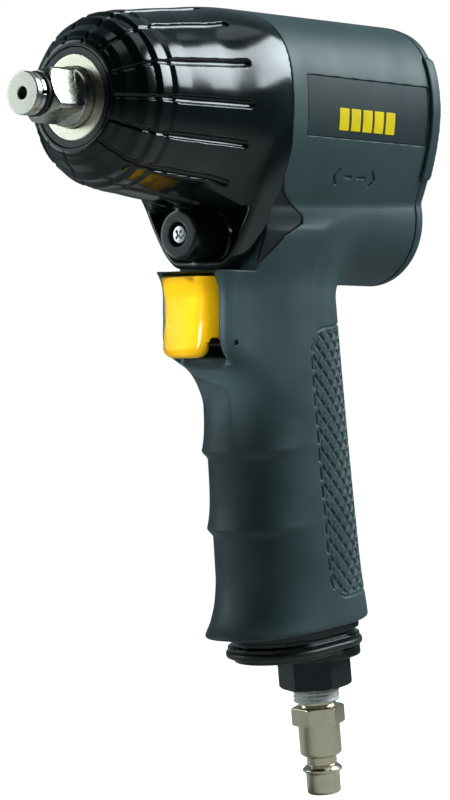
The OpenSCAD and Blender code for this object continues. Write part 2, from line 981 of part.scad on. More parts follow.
// Side view of the trigger: concave front face and a rounded lower end.
module trigger_outline() {
    low = trigger_z[0];
    high = trigger_z[1];
    toe_r = (trigger_front - shroud_front) / 2;
    face_r = 39.5;
    difference() {
        union() {
            translate([trigger_back, pin_z])
                square([trigger_front - trigger_back, high - pin_z]);
            translate([shroud_front, low + toe_r])
                square([2 * toe_r, high - low - toe_r]);
            translate([shroud_front + toe_r, low + toe_r]) circle(toe_r);
        }
        translate([trigger_front + face_r - 1.5, (low + high) / 2]) circle(face_r, $fn = 128);
    }
}

// Plan of the trigger, with its front corners cut back.
module trigger_plan() {
    cut_back = 3.3;
    face_half_w = trigger_half_w - 2.3;
    polygon([[trigger_back, -trigger_half_w], [trigger_front - cut_back, -trigger_half_w],
             [trigger_front, -face_half_w], [trigger_front, face_half_w],
             [trigger_front - cut_back, trigger_half_w], [trigger_back, trigger_half_w]]);
}

module trigger() {
    color([0.98, 0.8, 0.1])
        difference() {
            intersection() {
                rotate([90, 0, 0])
                    linear_extrude(2 * trigger_half_w, center = true)
                        trigger_outline();
                translate([0, 0, trigger_z[0]])
                    linear_extrude(trigger_z[1] - trigger_z[0])
                        trigger_plan();
            }
            // hollow back that leaves a boss round the rod
            difference() {
                translate([trigger_back - 1, -trigger_half_w + trigger_wall, trigger_z[0] + 3.6])
                    cube([hollow_front - trigger_back + 1, 2 * (trigger_half_w - trigger_wall),
                          hollow_h]);
                bar(hollow_front - boss_len, hollow_front + 1, 2 * rod_r, 0, valve_z);
            }
            bar(rod_front, trigger_back, rod_r, 0, valve_z);
            // open slots that run over the pin
            translate([trigger_back - 1, -trigger_half_w - 1, pin_z - slot_r])
                cube([slot_x - trigger_back + 1, 2 * trigger_half_w + 2, 2 * slot_r]);
            translate([slot_x, 0, pin_z])
                rotate([90, 0, 0])
                    cylinder(h = 30, r = slot_r, center = true);
        }
}

module trigger_rod() {
    color("silver")
        bar(seat_front - seat_t, rod_front, rod_r, 0, valve_z);
}

module trigger_pin() {
    color("silver")
        translate([pin_x, 0, pin_z])
            rotate([90, 0, 0])
                cylinder(h = 2 * shroud_half_w - 1.2, r = pin_r, center = true);
}

// Washer-shaped part in the throttle bore.
module bore_ring(x0, x1, r_in) {
    difference() {
        bar(x0, x1, valve_bore_r, 0, valve_z);
        bar(x0 - 1, x1 + 1, r_in, 0, valve_z);
    }
}

module trigger_bush() {
    color([0.8, 0.66, 0.35]) bore_ring(-70, pocket_floor - 0.4, rod_r + run_gap);
}

module rod_seal() {
    color([0.08, 0.08, 0.08]) bore_ring(-71.6, -70, rod_r + run_gap);
}

module valve_seat() {
    color([0.8, 0.66, 0.35]) bore_ring(seat_front - seat_t, seat_front, seat_bore_r);
}

module throttle_valve() {
    back = seat_front - seat_t - throttle_t;
    color([0.12, 0.12, 0.12])
        union() {
            bar(back, seat_front - seat_t, throttle_r, 0, valve_z);
            bar(back - throttle_stem_len, back, throttle_stem_r, 0, valve_z);
        }
}

module throttle_spring() {
    from = valve_bore_back + spring_wire_r;
    to = seat_front - seat_t - throttle_t - spring_wire_r - 0.1;
    color("silver")
        translate([from, 0, valve_z])
            rotate([0, 90, 0])
                coil(spring_wire_r, spring_r, spring_turns, to - from);
}

// ---- air inlet and exhaust ----

module inlet_bush() {
    color([0.09, 0.1, 0.11])
        in_grip()
            translate([inlet_x, 0, 0])
                difference() {
                    union() {
                        translate([0, 0, plug_top])
                            linear_extrude(bush_hex_t)
                                rotate(bush_turn) circle(inlet_af / sqrt(3), $fn = 6);
                        translate([0, 0, bush_top - skin])
                            linear_extrude(bush_grip - grip_len - bush_top)
                                circle(thread_r - thread_play);
                    }
                    translate([0, 0, plug_top - 1])
                        linear_extrude(plug_thread_len + 1.1) circle(plug_thread_r + thread_play);
                    translate([0, 0, plug_top])
                        linear_extrude(60) circle(inlet_bore_r - 1);
                }
}

module inlet_seal() {
    color([0.06, 0.06, 0.06])
        in_grip()
            translate([inlet_x, 0, bush_top])
                linear_extrude(seal_t)
                    difference() {
                        circle(thread_r + seal_ring_w);
                        circle(thread_r);
                    }
}

module inlet_screen() {
    pitch = 1.6;
    color([0.8, 0.7, 0.5])
        in_grip()
            translate([inlet_x, 0, bush_grip - grip_len + 1.2])
                difference() {
                    linear_extrude(0.6) circle(inlet_bore_r - run_gap);
                    for (i = [-2:2], j = [-2:2])
                        translate([i * pitch, j * pitch, -1])
                            linear_extrude(3) circle(0.5, $fn = 16);
                }
}

// Plan of the exhaust chamber in the grip's foot, clear of the inlet bush.
module chamber_plan(shrink = 0) {
    difference() {
        translate([chamber_x, 0]) oval(chamber_half_d - shrink, chamber_half_w - shrink);
        translate([inlet_x, 0]) circle(thread_r + chamber_wall + shrink);
    }
}

module muffler_pad() {
    color([0.6, 0.58, 0.5])
        in_grip()
            translate([0, 0, 1 - grip_len])
                linear_extrude(5)
                    chamber_plan(0.4);
}

// Exhaust collar: ridge, groove, seat of the bead, skirt, inlet plate and outlet slots.
module exhaust_collar() {
    slot_x = 12;
    slot_pitch = 4.4;
    narrow_d = collar_half_d - collar_step;
    narrow_w = collar_half_w - collar_step;
    color([0.07, 0.08, 0.09])
        in_grip()
            difference() {
                union() {
                    oval_slab(-grip_len - 2.4, -grip_len, collar_half_d, collar_half_w);
                    oval_slab(bead_top, -grip_len - 4, collar_half_d, collar_half_w);
                    oval_slab(collar_bottom, -grip_len - 2, narrow_d, narrow_w);
                    translate([inlet_x, 0, bush_top])
                        linear_extrude(inlet_plate_t + 1) circle(inlet_plate_r);
                }
                translate([inlet_x, 0, bush_top - 1])
                    linear_extrude(collar_t + inlet_plate_t + 2) circle(thread_r);
                translate([inlet_x, 0, bush_top - 1])
                    linear_extrude(seal_t + 1) circle(thread_r + seal_ring_w);
                for (i = [-2:2])
                    translate([slot_x, i * slot_pitch, collar_bottom - 1])
                        linear_extrude(collar_t + 2) oval(6 - abs(i), 1.2);
            }
}

module collar_bead() {
    color([0.05, 0.06, 0.07])
        in_grip()
            difference() {
                oval_slab(bead_top - bead_t, bead_top, collar_half_d + bead_proud,
                          collar_half_w + bead_proud);
                oval_slab(bead_top - bead_t - 1, bead_top + 1, collar_half_d - collar_step,
                          collar_half_w - collar_step);
            }
}

module thread_tape() {
    color([0.95, 0.95, 0.93])
        in_grip()
            translate([inlet_x, 0, plug_top - tape_t])
                linear_extrude(tape_t)
                    difference() {
                        circle(plug_thread_r + tape_wall);
                        circle(plug_thread_r);
                    }
}

// Quick-coupler plug: thread, hexagon, body, neck, bead and tip, turned about its own axis.
module air_plug() {
    hex_back = plug_hex_z - plug_hex_t;
    body_end = hex_back - plug_body_len;
    profile = [
        [0, hex_back], [plug_body_r, hex_back], [plug_body_r, body_end],
        [plug_neck_r, body_end - 1.2], [plug_neck_r, body_end - 3.3],
        [plug_bead_r, body_end - 4.2], [plug_bead_r, body_end - 4.9],
        [plug_tip_r, body_end - 5.8], [plug_tip_r, body_end - 11.4],
        [plug_tip_r - 0.5, body_end - 12], [0, body_end - 12]
    ];
    color([0.8, 0.77, 0.62])
        in_grip()
            translate([inlet_x, 0, 0])
                difference() {
                    union() {
                        translate([0, 0, plug_hex_z])
                            linear_extrude(plug_neck + plug_thread_len) circle(plug_thread_r);
                        translate([0, 0, hex_back])
                            linear_extrude(plug_hex_t)
                                rotate(plug_turn) circle(plug_af / sqrt(3), $fn = 6);
                        rotate_extrude()
                            polygon(profile);
                    }
                    translate([0, 0, body_end - 20])
                        linear_extrude(60) circle(plug_bore_r);
                }
}

nose_cover();
cover_screw();
hammer_case();
nose_ring();
anvil();
socket_ring();
socket_seal();
hammer_cage();
hammer_front();
hammer_rear();
hammer_pins();
case_gasket();
motor_housing();
side_insets();
name_panels();
panel_bars();
case_screws();
front_end_plate();
rear_end_plate();
motor_cylinder();
cylinder_dowel();
rotor();
rotor_vanes();
front_outer_race();
front_inner_race();
front_balls();
rear_outer_race();
rear_inner_race();
rear_balls();
reverse_valve();
rear_gasket();
rear_cover();
reverse_dial();
detent_ball();
detent_spring();
trigger();
trigger_rod();
trigger_pin();
trigger_bush();
rod_seal();
valve_seat();
throttle_valve();
throttle_spring();
inlet_bush();
inlet_seal();
inlet_screen();
muffler_pad();
exhaust_collar();
collar_bead();
thread_tape();
air_plug();
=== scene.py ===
# Looks of a pneumatic impact wrench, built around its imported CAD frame.
#
# Shapes are signed-distance fields in millimetres, negative inside, in the tool's frame:
# +X forward along the drive axis, +Y to the tool's left, +Z up.
import json
import math

import bpy
import numpy as np
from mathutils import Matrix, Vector


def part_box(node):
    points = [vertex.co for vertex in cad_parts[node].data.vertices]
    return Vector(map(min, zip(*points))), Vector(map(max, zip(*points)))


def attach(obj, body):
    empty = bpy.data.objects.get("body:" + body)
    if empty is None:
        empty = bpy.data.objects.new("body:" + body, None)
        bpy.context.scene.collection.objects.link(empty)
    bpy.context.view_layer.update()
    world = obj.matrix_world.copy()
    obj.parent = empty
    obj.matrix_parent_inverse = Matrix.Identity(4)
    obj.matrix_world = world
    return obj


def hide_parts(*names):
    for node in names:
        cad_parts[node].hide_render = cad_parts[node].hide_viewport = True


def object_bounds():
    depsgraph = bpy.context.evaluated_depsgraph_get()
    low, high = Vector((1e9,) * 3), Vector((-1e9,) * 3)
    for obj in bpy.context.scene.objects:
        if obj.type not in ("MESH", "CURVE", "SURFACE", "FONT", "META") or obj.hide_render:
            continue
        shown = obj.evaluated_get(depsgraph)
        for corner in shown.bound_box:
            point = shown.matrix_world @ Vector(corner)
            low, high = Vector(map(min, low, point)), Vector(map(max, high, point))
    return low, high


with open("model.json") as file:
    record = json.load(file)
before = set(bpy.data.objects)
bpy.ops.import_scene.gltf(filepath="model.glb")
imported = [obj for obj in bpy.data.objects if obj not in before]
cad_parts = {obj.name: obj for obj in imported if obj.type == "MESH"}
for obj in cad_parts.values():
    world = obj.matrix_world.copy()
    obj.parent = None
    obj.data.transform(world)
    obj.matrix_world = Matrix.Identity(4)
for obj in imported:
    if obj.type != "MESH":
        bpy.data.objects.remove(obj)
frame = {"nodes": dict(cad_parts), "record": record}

CAD_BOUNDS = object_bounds()
MM = 0.001
COARSE = 1.0      # cells grow while the script is being tried out


def box_mm(node):
    """Lowest and highest corner of a CAD node, in millimetres."""
    low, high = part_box(node)
    return np.array(low) / MM, np.array(high) / MM


# ---- places taken from the frame ----

COVER_LOW, COVER_HIGH = box_mm("nose_cover")
GASKET_LOW, GASKET_HIGH = box_mm("rear_gasket")
TRIGGER_LOW, TRIGGER_HIGH = box_mm("trigger")
PANEL_LOW, PANEL_HIGH = box_mm("name_panels")
BARS_LOW, BARS_HIGH = box_mm("panel_bars")
RING_LOW, RING_HIGH = box_mm("nose_ring")
SCREW_LOW, SCREW_HIGH = box_mm("cover_screw")
PIN_LOW, PIN_HIGH = box_mm("trigger_pin")
ROD_LOW, ROD_HIGH = box_mm("trigger_rod")
DIAL_LOW, DIAL_HIGH = box_mm("reverse_dial")
ANVIL_LOW, ANVIL_HIGH = box_mm("anvil")

SEAM_X = COVER_LOW[0]
HOUSING_X = box_mm("case_gasket")[0][0]
CAP_X = GASKET_HIGH[0]
FLANGE_X = GASKET_LOW[0]
REAR_X = box_mm("rear_cover")[0][0]
TOP_Z = COVER_HIGH[2]
SEAM_HALF_W = COVER_HIGH[1]
LIP_X = COVER_HIGH[0]
LEAN = math.radians(7)
SCREW_Z = (SCREW_LOW[2] + SCREW_HIGH[2]) / 2
PIN_X, PIN_Z = (PIN_LOW + PIN_HIGH)[[0, 2]] / 2
ROD_Z = (ROD_LOW[2] + ROD_HIGH[2]) / 2

# ---- sizes of the moulded shapes ----

REAR_HALF_W = 25.8
CROWN_R = 64
SEAM_TOP_R = 40
REAR_TOP_R = 33
FLANK_TOP_Z = -18
FLANK_LOW_Z = -29
FLANK_HALF_W = 19.3
BELLY_R = 19.6
BELLY_Z = -30
MOTOR_R = box_mm("motor_cylinder")[1][1]
LUG_FRONT = -127
SPIGOT_FRONT = -124.8
TIE_PITCH_R = 24.2
TIE_HOLE_R = 2.15
TIE_SIDE = TIE_PITCH_R / math.sqrt(2)
SCREW_HOLE_R = 1.85
PIN_HOLE_R = 0.85
THROTTLE_BORE_R = 6
THROTTLE_BORE_X = -100

GRIP_X = -86.2
GRIP_Z = -84.2
GRIP_LEN = 67.3
GRIP_TOP = 46
INLET_X = -8
THREAD_R = 8.2


# ---- field tools ----

def blend_min(a, b, k):
    """Union of two fields with a fillet of size k."""
    h = np.clip(0.5 + 0.5 * (b - a) / k, 0, 1)
    return b + (a - b) * h - k * h * (1 - h)


def blend_max(a, b, k):
    """Intersection of two fields with its edge rounded by k."""
    return -blend_min(-a, -b, k)


def round_max(a, b, radius):
    """Intersection of two fields whose edge is an arc of the given radius."""
    outside = np.hypot(np.maximum(a + radius, 0), np.maximum(b + radius, 0))
    return outside + np.minimum(np.maximum(a, b) + radius, 0) - radius


def cut(a, b, k=0.3):
    """Field a with b taken out of it."""
    return blend_max(a, -b, k)


def slab(v, low, high):
    """Field of the layer between two planes."""
    return np.maximum(low - v, v - high)


def rod(u, v, radius):
    """Field of an endless round bar whose section lies in u, v."""
    return np.hypot(u, v) - radius


def ease(v, low, high):
    """Smooth step from 0 at low to 1 at high."""
    t = np.clip((v - low) / (high - low), 0, 1)
    return t * t * (3 - 2 * t)


def rounded_rect(u, v, half_u, half_v, radius):
    """Field of a rectangle with round corners, about the origin of u, v."""
    du = np.abs(u) - half_u + radius
    dv = np.abs(v) - half_v + radius
    outside = np.hypot(np.maximum(du, 0), np.maximum(dv, 0))
    return outside + np.minimum(np.maximum(du, dv), 0) - radius


def stadium(u, v, half_u, half_v):
    """Field of an oval with straight sides, long way along u."""
    return np.hypot(np.maximum(np.abs(u) - (half_u - half_v), 0), v) - half_v


def super_oval(u, v, half_u, half_v, power):
    """Near-distance to a rounded oval; a power above 2 squares its sides off."""
    a = np.abs(u) / half_u
    b = np.abs(v) / half_v
    level = (a ** power + b ** power + 1e-9) ** (1 / power)
    slope_u = (a / level) ** (power - 1) / half_u
    slope_v = (b / level) ** (power - 1) / half_v
    return (level - 1) / np.hypot(slope_u, slope_v)


def hexagon(u, v, half_flat):
    """Field of a hexagon with flats half_flat from its centre."""
    turns = [math.radians(a) for a in (0, 60, 120)]
    flats = [np.abs(u * math.cos(a) + v * math.sin(a)) for a in turns]
    return np.maximum(np.maximum(flats[0], flats[1]), flats[2]) - half_flat


def polygon(u, v, points):
    """Field of a closed outline given by its corners."""
    u, v = np.broadcast_arrays(u, v)
    nearest = np.full(u.shape, 1e9)
    inside = np.zeros(u.shape, bool)
    for (au, av), (bu, bv) in zip(points, points[1:] + points[:1]):
        eu, ev = bu - au, bv - av
        wu, wv = u - au, v - av
        t = np.clip((wu * eu + wv * ev) / (eu * eu + ev * ev), 0, 1)
        nearest = np.minimum(nearest, (wu - eu * t) ** 2 + (wv - ev * t) ** 2)
        left = eu * wv > ev * wu
        crosses = ((v >= av) & (v < bv) & left) | ((v < av) & (v >= bv) & ~left)
        inside ^= crosses
    return np.where(inside, -1, 1) * np.sqrt(nearest)


def curve(v, knots):
    """Smooth monotone curve through (place, value) knots."""
    places = np.array([k[0] for k in knots], float)
    values = np.array([k[1] for k in knots], float)
    steps = np.diff(places)
    rises = np.diff(values) / steps
    slopes = np.concatenate([rises[:1], np.zeros(len(knots) - 2), rises[-1:]])
    for i in range(1, len(knots) - 1):
        if rises[i - 1] * rises[i] > 0:
            slopes[i] = 2 / (1 / rises[i - 1] + 1 / rises[i])
    i = np.clip(np.searchsorted(places, v) - 1, 0, len(steps) - 1)
    t = np.clip((v - places[i]) / steps[i], 0, 1)
    start = values[i] * (1 + 2 * t) * (1 - t) ** 2 + slopes[i] * steps[i] * t * (1 - t) ** 2
    finish = values[i + 1] * t * t * (3 - 2 * t) + slopes[i + 1] * steps[i] * t * t * (t - 1)
    return start + finish


def in_grip(x, z):
    """Place of a point in the leaning frame of the grip."""
    dx, dz = x - GRIP_X, z - GRIP_Z
    return dx * math.cos(LEAN) - dz * math.sin(LEAN), dx * math.sin(LEAN) + dz * math.cos(LEAN)


# ---- fields into meshes ----

SETTLE_ROUNDS = 3


def sample(field, low, counts, cell):
    """Field values on a grid, a few layers at a time."""
    x, y, z = (low[i] + cell * np.arange(counts[i]) for i in range(3))
    values = np.empty(counts, np.float32)
    for start in range(0, counts[0], 8):
        part = x[start:start + 8, None, None]
        values[start:start + 8] = field(part, y[None, :, None], z[None, None, :])
    for axis in range(3):
        edge = np.moveaxis(values, axis, 0)
        edge[0] = np.maximum(edge[0], 0.1)
        edge[-1] = np.maximum(edge[-1], 0.1)
    return values


def surface_net(values):
    """Points and quads of the zero surface, in grid units."""
    inside = values < 0
    unit = np.eye(3, dtype=int)
    spots, homes, quads = [], [], []
    for axis in range(3):
        u, v = (axis + 1) % 3, (axis + 2) % 3
        here = np.take(inside, range(0, values.shape[axis] - 1), axis)
        there = np.take(inside, range(1, values.shape[axis]), axis)
        edges = np.argwhere(here != there)
        first = values[tuple(edges.T)]
        second = values[tuple((edges + unit[axis]).T)]
        share = first / (first - second)
        spot = edges + share[:, None] * unit[axis]
        corners = []
        for du, dv in ((0, 0), (1, 0), (1, 1), (0, 1)):
            home = edges - du * unit[u] - dv * unit[v]
            corners.append(np.ravel_multi_index(home.T, values.shape))
            spots.append(spot)
        quad = np.stack(corners, 1)
        quads.append(np.where((first < 0)[:, None], quad, quad[:, ::-1]))
        homes.extend(corners)
    names, slots = np.unique(np.concatenate(homes), return_inverse=True)
    spots = np.concatenate(spots)
    share = np.bincount(slots)
    points = np.stack([np.bincount(slots, spots[:, i]) / share for i in range(3)], 1)
    return points, np.searchsorted(names, np.concatenate(quads))


def slopes(field, points, reach):
    """Value and gradient of the field at each point."""
    x, y, z = points.T
    value = field(x, y, z)
    steps = [(reach, 0, 0), (0, reach, 0), (0, 0, reach)]
    rises = [field(x + a, y + b, z + c) - field(x - a, y - b, z - c) for a, b, c in steps]
    return value, np.stack(rises, 1) / (2 * reach)


def settle(field, points, cell):
    """Moves points onto the zero surface, and gives their normals."""
    for _ in range(SETTLE_ROUNDS):
        value, slope = slopes(field, points, 0.1 * cell)
        size = np.maximum((slope ** 2).sum(1), 0.05)
        step = np.clip(value / size, -0.6 * cell, 0.6 * cell)
        points = points - step[:, None] * slope
    slope = slopes(field, points, 0.35 * cell)[1]
    return points, slope / np.maximum(np.linalg.norm(slope, axis=1), 1e-6)[:, None]


def smooth_mesh(name, points, quads, normals):
    """Quad mesh in metres from points in millimetres, shaded by the given normals."""
    mesh = bpy.data.meshes.new(name)
    mesh.vertices.add(len(points))
    mesh.vertices.foreach_set("co", (points * MM).astype(np.float32).ravel())
    mesh.loops.add(quads.size)
    mesh.loops.foreach_set("vertex_index", quads.astype(np.int32).ravel())
    mesh.polygons.add(len(quads))
    mesh.polygons.foreach_set("loop_start", np.arange(0, quads.size, 4, dtype=np.int32))
    mesh.polygons.foreach_set("use_smooth", np.ones(len(quads), bool))
    mesh.update(calc_edges=True)
    mesh.normals_split_custom_set_from_vertices(normals.astype(np.float32))
    return mesh


def mesh_field(name, field, nodes, cell, material, low=None, high=None):
    """Meshes a field as the visible form of some CAD nodes, and finishes the new piece."""
    cell = cell * COARSE
    boxes = [box_mm(n) for n in nodes]
    low = np.min([b[0] for b in boxes], 0) if low is None else np.array(low, float)
    high = np.max([b[1] for b in boxes], 0) if high is None else np.array(high, float)
    low = low - 2.6 * cell - 0.3
    counts = [int((b - a) / cell) + 5 for a, b in zip(low, high)]
    points, quads = surface_net(sample(field, low, counts, cell))
    points, normals = settle(field, low + cell * points, cell)
    piece = bpy.data.objects.new(name, smooth_mesh(name, points, quads, normals))
    bpy.context.scene.collection.objects.link(piece)
    finish_piece(piece, nodes, material)


def finish_piece(piece, nodes, material):
    """Gives a piece its material, hides the CAD nodes it stands for, and parents it to their body."""
    bodies = frame["record"]["behaviour"]["bodies"]
    home = next(b for b, members in bodies.items() if nodes[0] in members)
    piece.data.materials.append(MATERIALS[material])
    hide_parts(*nodes)
    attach(piece, home)


# ---- housing ----

def body_section(x, y, z):
    """Barrel with crowned sides under a rounder top, narrowing to the rear."""
    back = (x - SEAM_X) / (REAR_X - SEAM_X)
    half_w = SEAM_HALF_W + (REAR_HALF_W - SEAM_HALF_W) * back
    top_r = SEAM_TOP_R + (REAR_TOP_R - SEAM_TOP_R) * back
    side = np.abs(y)
    crown = np.hypot(side - half_w + CROWN_R, z) - CROWN_R
    top = np.hypot(y, z - TOP_Z + top_r) - top_r
    waist = half_w - CROWN_R + math.sqrt(CROWN_R ** 2 - FLANK_TOP_Z ** 2)
    run = waist - FLANK_HALF_W
    fall = FLANK_TOP_Z - FLANK_LOW_Z
    flank = ((side - FLANK_HALF_W) * fall - (z - FLANK_LOW_Z) * run) / np.hypot(run, fall)
    shell = blend_max(blend_max(crown, top, 5), flank, 6)
    return np.maximum(shell, FLANK_LOW_Z - 1 - z)


def tie_holes(y, z):
    """Distance from the nearest of the four long screws."""
    return np.hypot(np.abs(y) - TIE_SIDE, np.abs(z) - TIE_SIDE)


def barrel_and_belly(x, y, z):
    """Barrel joined to the round belly below it, with a fine crease between them."""
    belly = rod(y, z - BELLY_Z, BELLY_R)
    return blend_min(body_section(x, y, z), belly, 0.7)


GRIP_FRONT = [(-70, 32), (-67.3, 30.6), (-63, 27.2), (-57, 24.6), (-50, 23.4), (0, 22.5), (60, 22.3)]
GRIP_BACK = [(-70, 25.8), (-67.3, 25.4), (-50, 23.6), (0, 22.6), (60, 22.3)]
GRIP_SIDE = [(-70, 19), (-67.3, 18.7), (-50, 17.7), (0, 17.1), (60, 16.9)]
RIDGE_Z = (-12.5, -35.5)
RIDGE_H = 1.5
KNURL_LOW, KNURL_HIGH = -59, 20.5
KNURL_FRONT = 1.2
KNURL_R = 20.5
KNURL_AROUND, KNURL_ALONG = 4.4, 5.4


def finger_ridges(u, v):
    """Height of the two finger ridges: gentle above, steep below, faint across the sides."""
    height = 0
    for place in RIDGE_Z:
        above = np.exp(-np.maximum(v - place, 0) / 5.5)
        below = 1 - ease(place - v, 0, 3)
        height = height + above * below
    front = ease(u, 6, 21)
    side = ease(u, -4, 2)
    return height * (RIDGE_H * front + 0.16 * side)


def knurl(u, y, v):
    """Depth of the crossed grooves over the back of the grip, and of the dashed line round them."""
    turn = np.arctan2(y * 1.25, -u)
    around = KNURL_R * turn
    limit = KNURL_R * (math.pi / 2 + KNURL_FRONT / KNURL_R)
    middle = (KNURL_LOW + KNURL_HIGH) / 2
    half = (KNURL_HIGH - KNURL_LOW) / 2
    region = rounded_rect(around, v - middle, limit, half, 7)
    one = around / KNURL_AROUND + v / KNURL_ALONG
    two = around / KNURL_AROUND - v / KNURL_ALONG
    spacing = 1 / math.hypot(1 / KNURL_AROUND, 1 / KNURL_ALONG)
    line = np.minimum(np.abs(one - np.round(one)), np.abs(two - np.round(two))) * spacing
    grooves = (1 - ease(line, 0.1, 0.75)) * ease(-region, 0.6, 1.2)
    dash = ease(np.abs((v / KNURL_ALONG) % 1 - 0.5), 0.12, 0.2)
    border = (1 - ease(np.abs(region), 0.1, 0.6)) * dash
    return 0.55 * grooves + 0.4 * border


def grip_shape(x, y, z):
    """Oval grip with finger ridges, knurled back and a flared foot."""
    u, v = in_grip(x, z)
    front = curve(v, GRIP_FRONT)
    back = curve(v, GRIP_BACK)
    middle = (front - back) / 2
    shape = super_oval(u - middle, y, (front + back) / 2, curve(v, GRIP_SIDE), 2.35)
    shape = shape - finger_ridges(u, v) + knurl(u, y, v)
    return blend_max(blend_max(shape, -GRIP_LEN - v, 1.4), v - GRIP_TOP, 2)


SHROUD_FRONT = box_mm("motor_housing")[1][0]
SHROUD_HALF_W = 13.6
SHROUD_TOP = -47
SHROUD_BACK = -80
LIP_POINT = (-56.8, -74.2)


def shroud_shape(x, y, z):
    """Block in front of the grip that holds the trigger, with a lip that slopes back below it."""
    block = round_max(x - SHROUD_FRONT, np.abs(y) - SHROUD_HALF_W, 3.2)
    lip = (x - LIP_POINT[0]) * 0.44 - (z - LIP_POINT[1]) * 0.9
    block = blend_max(block, lip, 6)
    return np.maximum(block, np.maximum(z - SHROUD_TOP - 6, SHROUD_BACK - x))


def housing_outside(x, y, z):
    """Barrel, belly, grip and shroud as one moulding."""
    hand = blend_min(grip_shape(x, y, z), shroud_shape(x, y, z), 6)
    return blend_min(barrel_and_belly(x, y, z), hand, 8)


POCKET_BACK = -64.6
POCKET_HALF_W = TRIGGER_HIGH[1] + 0.4
POCKET_Z = (-74, -47.6)
POCKET_STEP = (-57, -71)
PANEL_SEAT = 1.6
INSET_SEAT = 1.2
MARK_DEPTH = 0.45
MARKS_X, MARKS_Z = -95.5, -19
THREAD_DEPTH = 16
EXHAUST_X, EXHAUST_Y = -2, 10.6
EXHAUST_R = 3
CHAMBER_X, CHAMBER_DEPTH = 8.5, 8
CHAMBER_HALF_D, CHAMBER_HALF_W = 13, 12


def inset_outline(x, z):
    """Three-cornered inset behind the seam."""
    corners = [(SEAM_X + 3, -17.5), (SEAM_X - 0.5, -18.8), (-65.5, -24.5), (-76, -31.3), (-76, -32.6),
               (-69, -36.2), (SEAM_X - 0.5, -43.6), (SEAM_X + 3, -46)]
    return polygon(x, z, corners) - 0.9


def panel_outline(x, z, shrink):
    """Side view of the name panel, smaller all round by shrink."""
    middle_x = (PANEL_LOW[0] + PANEL_HIGH[0]) / 2
    middle_z = (PANEL_LOW[2] + PANEL_HIGH[2]) / 2
    half_x = (PANEL_HIGH[0] - PANEL_LOW[0]) / 2 - shrink
    half_z = (PANEL_HIGH[2] - PANEL_LOW[2]) / 2 - shrink
    return rounded_rect(x - middle_x, z - middle_z, half_x, half_z, 0.6)


def direction_marks(x, z):
    """Generic two-way arrow below the panel: a chevron at each end of a dashed line."""
    u, v = np.abs(x - MARKS_X), np.abs(z - MARKS_Z)
    chevron = np.abs(u + v * 0.9 - 9.6) * 0.75
    chevron = np.maximum(chevron - 0.35, v - 2.3)
    dash = rounded_rect(u - 3.2, v, 1.9, 0.4, 0.3)
    return np.minimum(chevron, dash)


def trigger_pocket(x, y, z):
    """Slot in the shroud that the trigger slides in, with a step in its floor."""
    floor_z = np.where(x < POCKET_STEP[0], POCKET_STEP[1], POCKET_Z[0])
    pocket = blend_max(np.abs(y) - POCKET_HALF_W, slab(z, floor_z, POCKET_Z[1]), 0.6)
    return blend_max(pocket, POCKET_BACK - x, 0.5)


def air_passages(x, y, z):
    """Inlet thread, twin exhaust ducts and the chamber over the exhaust collar."""
    u, v = in_grip(x, z)
    inlet = np.maximum(rod(u - INLET_X, y, THREAD_R), v + GRIP_LEN - THREAD_DEPTH)
    exhaust = np.maximum(rod(u - EXHAUST_X, np.abs(y) - EXHAUST_Y, EXHAUST_R), v)
    chamber = stadium(u - CHAMBER_X, y, CHAMBER_HALF_D, CHAMBER_HALF_W)
    chamber = np.maximum(chamber, v + GRIP_LEN - CHAMBER_DEPTH)
    return inlet, exhaust, chamber


def housing(x, y, z):
    """Motor housing and grip, with their seats, pocket, bores and passages."""
    outside = housing_outside(x, y, z)
    section = body_section(x, y, z)
    ahead = np.maximum(HOUSING_X - x, SHROUD_TOP - z)
    shape = cut(outside, ahead, 0.5)
    shape = blend_max(shape, CAP_X - x, 0.3)
    seat = np.maximum(panel_outline(x, z, -0.1), -(section + PANEL_SEAT))
    shape = cut(shape, seat, 0.15)
    seat = np.maximum(inset_outline(x, z), -(outside + INSET_SEAT))
    shape = cut(shape, seat, 0.2)
    marks = np.maximum(direction_marks(x, z), -(section + MARK_DEPTH))
    shape = cut(shape, marks, 0.2)
    shape = cut(shape, rod(y, z, MOTOR_R), 0.2)
    shape = cut(shape, tie_holes(y, z) - TIE_HOLE_R, 0.1)
    screw = np.maximum(rod(y, z - SCREW_Z, SCREW_HOLE_R), SCREW_LOW[0] - 1 - x)
    shape = cut(shape, screw, 0.1)
    shape = cut(shape, trigger_pocket(x, y, z), 0.9)
    shape = cut(shape, rod(x - PIN_X, z - PIN_Z, PIN_HOLE_R), 0.1)
    bore = rod(y, z - ROD_Z, THROTTLE_BORE_R)
    bore = np.maximum(bore, slab(x, THROTTLE_BORE_X, POCKET_BACK + 1))
    shape = cut(shape, bore, 0.1)
    for passage in air_passages(x, y, z):
        shape = cut(shape, passage, 0.1)
    return shape


def side_inset(x, y, z):
    """Dark insets behind the seam."""
    skin = housing_outside(x, y, z)
    shape = blend_max(skin + 0.3, inset_outline(x, z) + 0.12, 0.4)
    shape = np.maximum(shape, x - HOUSING_X)
    return np.maximum(shape, -(skin + 1.15))


def name_panel(x, y, z):
    """Plain recessed panels on the sides of the barrel."""
    skin = body_section(x, y, z)
    shape = blend_max(skin + 0.2, panel_outline(x, z, 0), 0.15)
    return np.maximum(shape, -(skin + 1.5))


BAR_COUNT = 5
BAR_W = 4.5


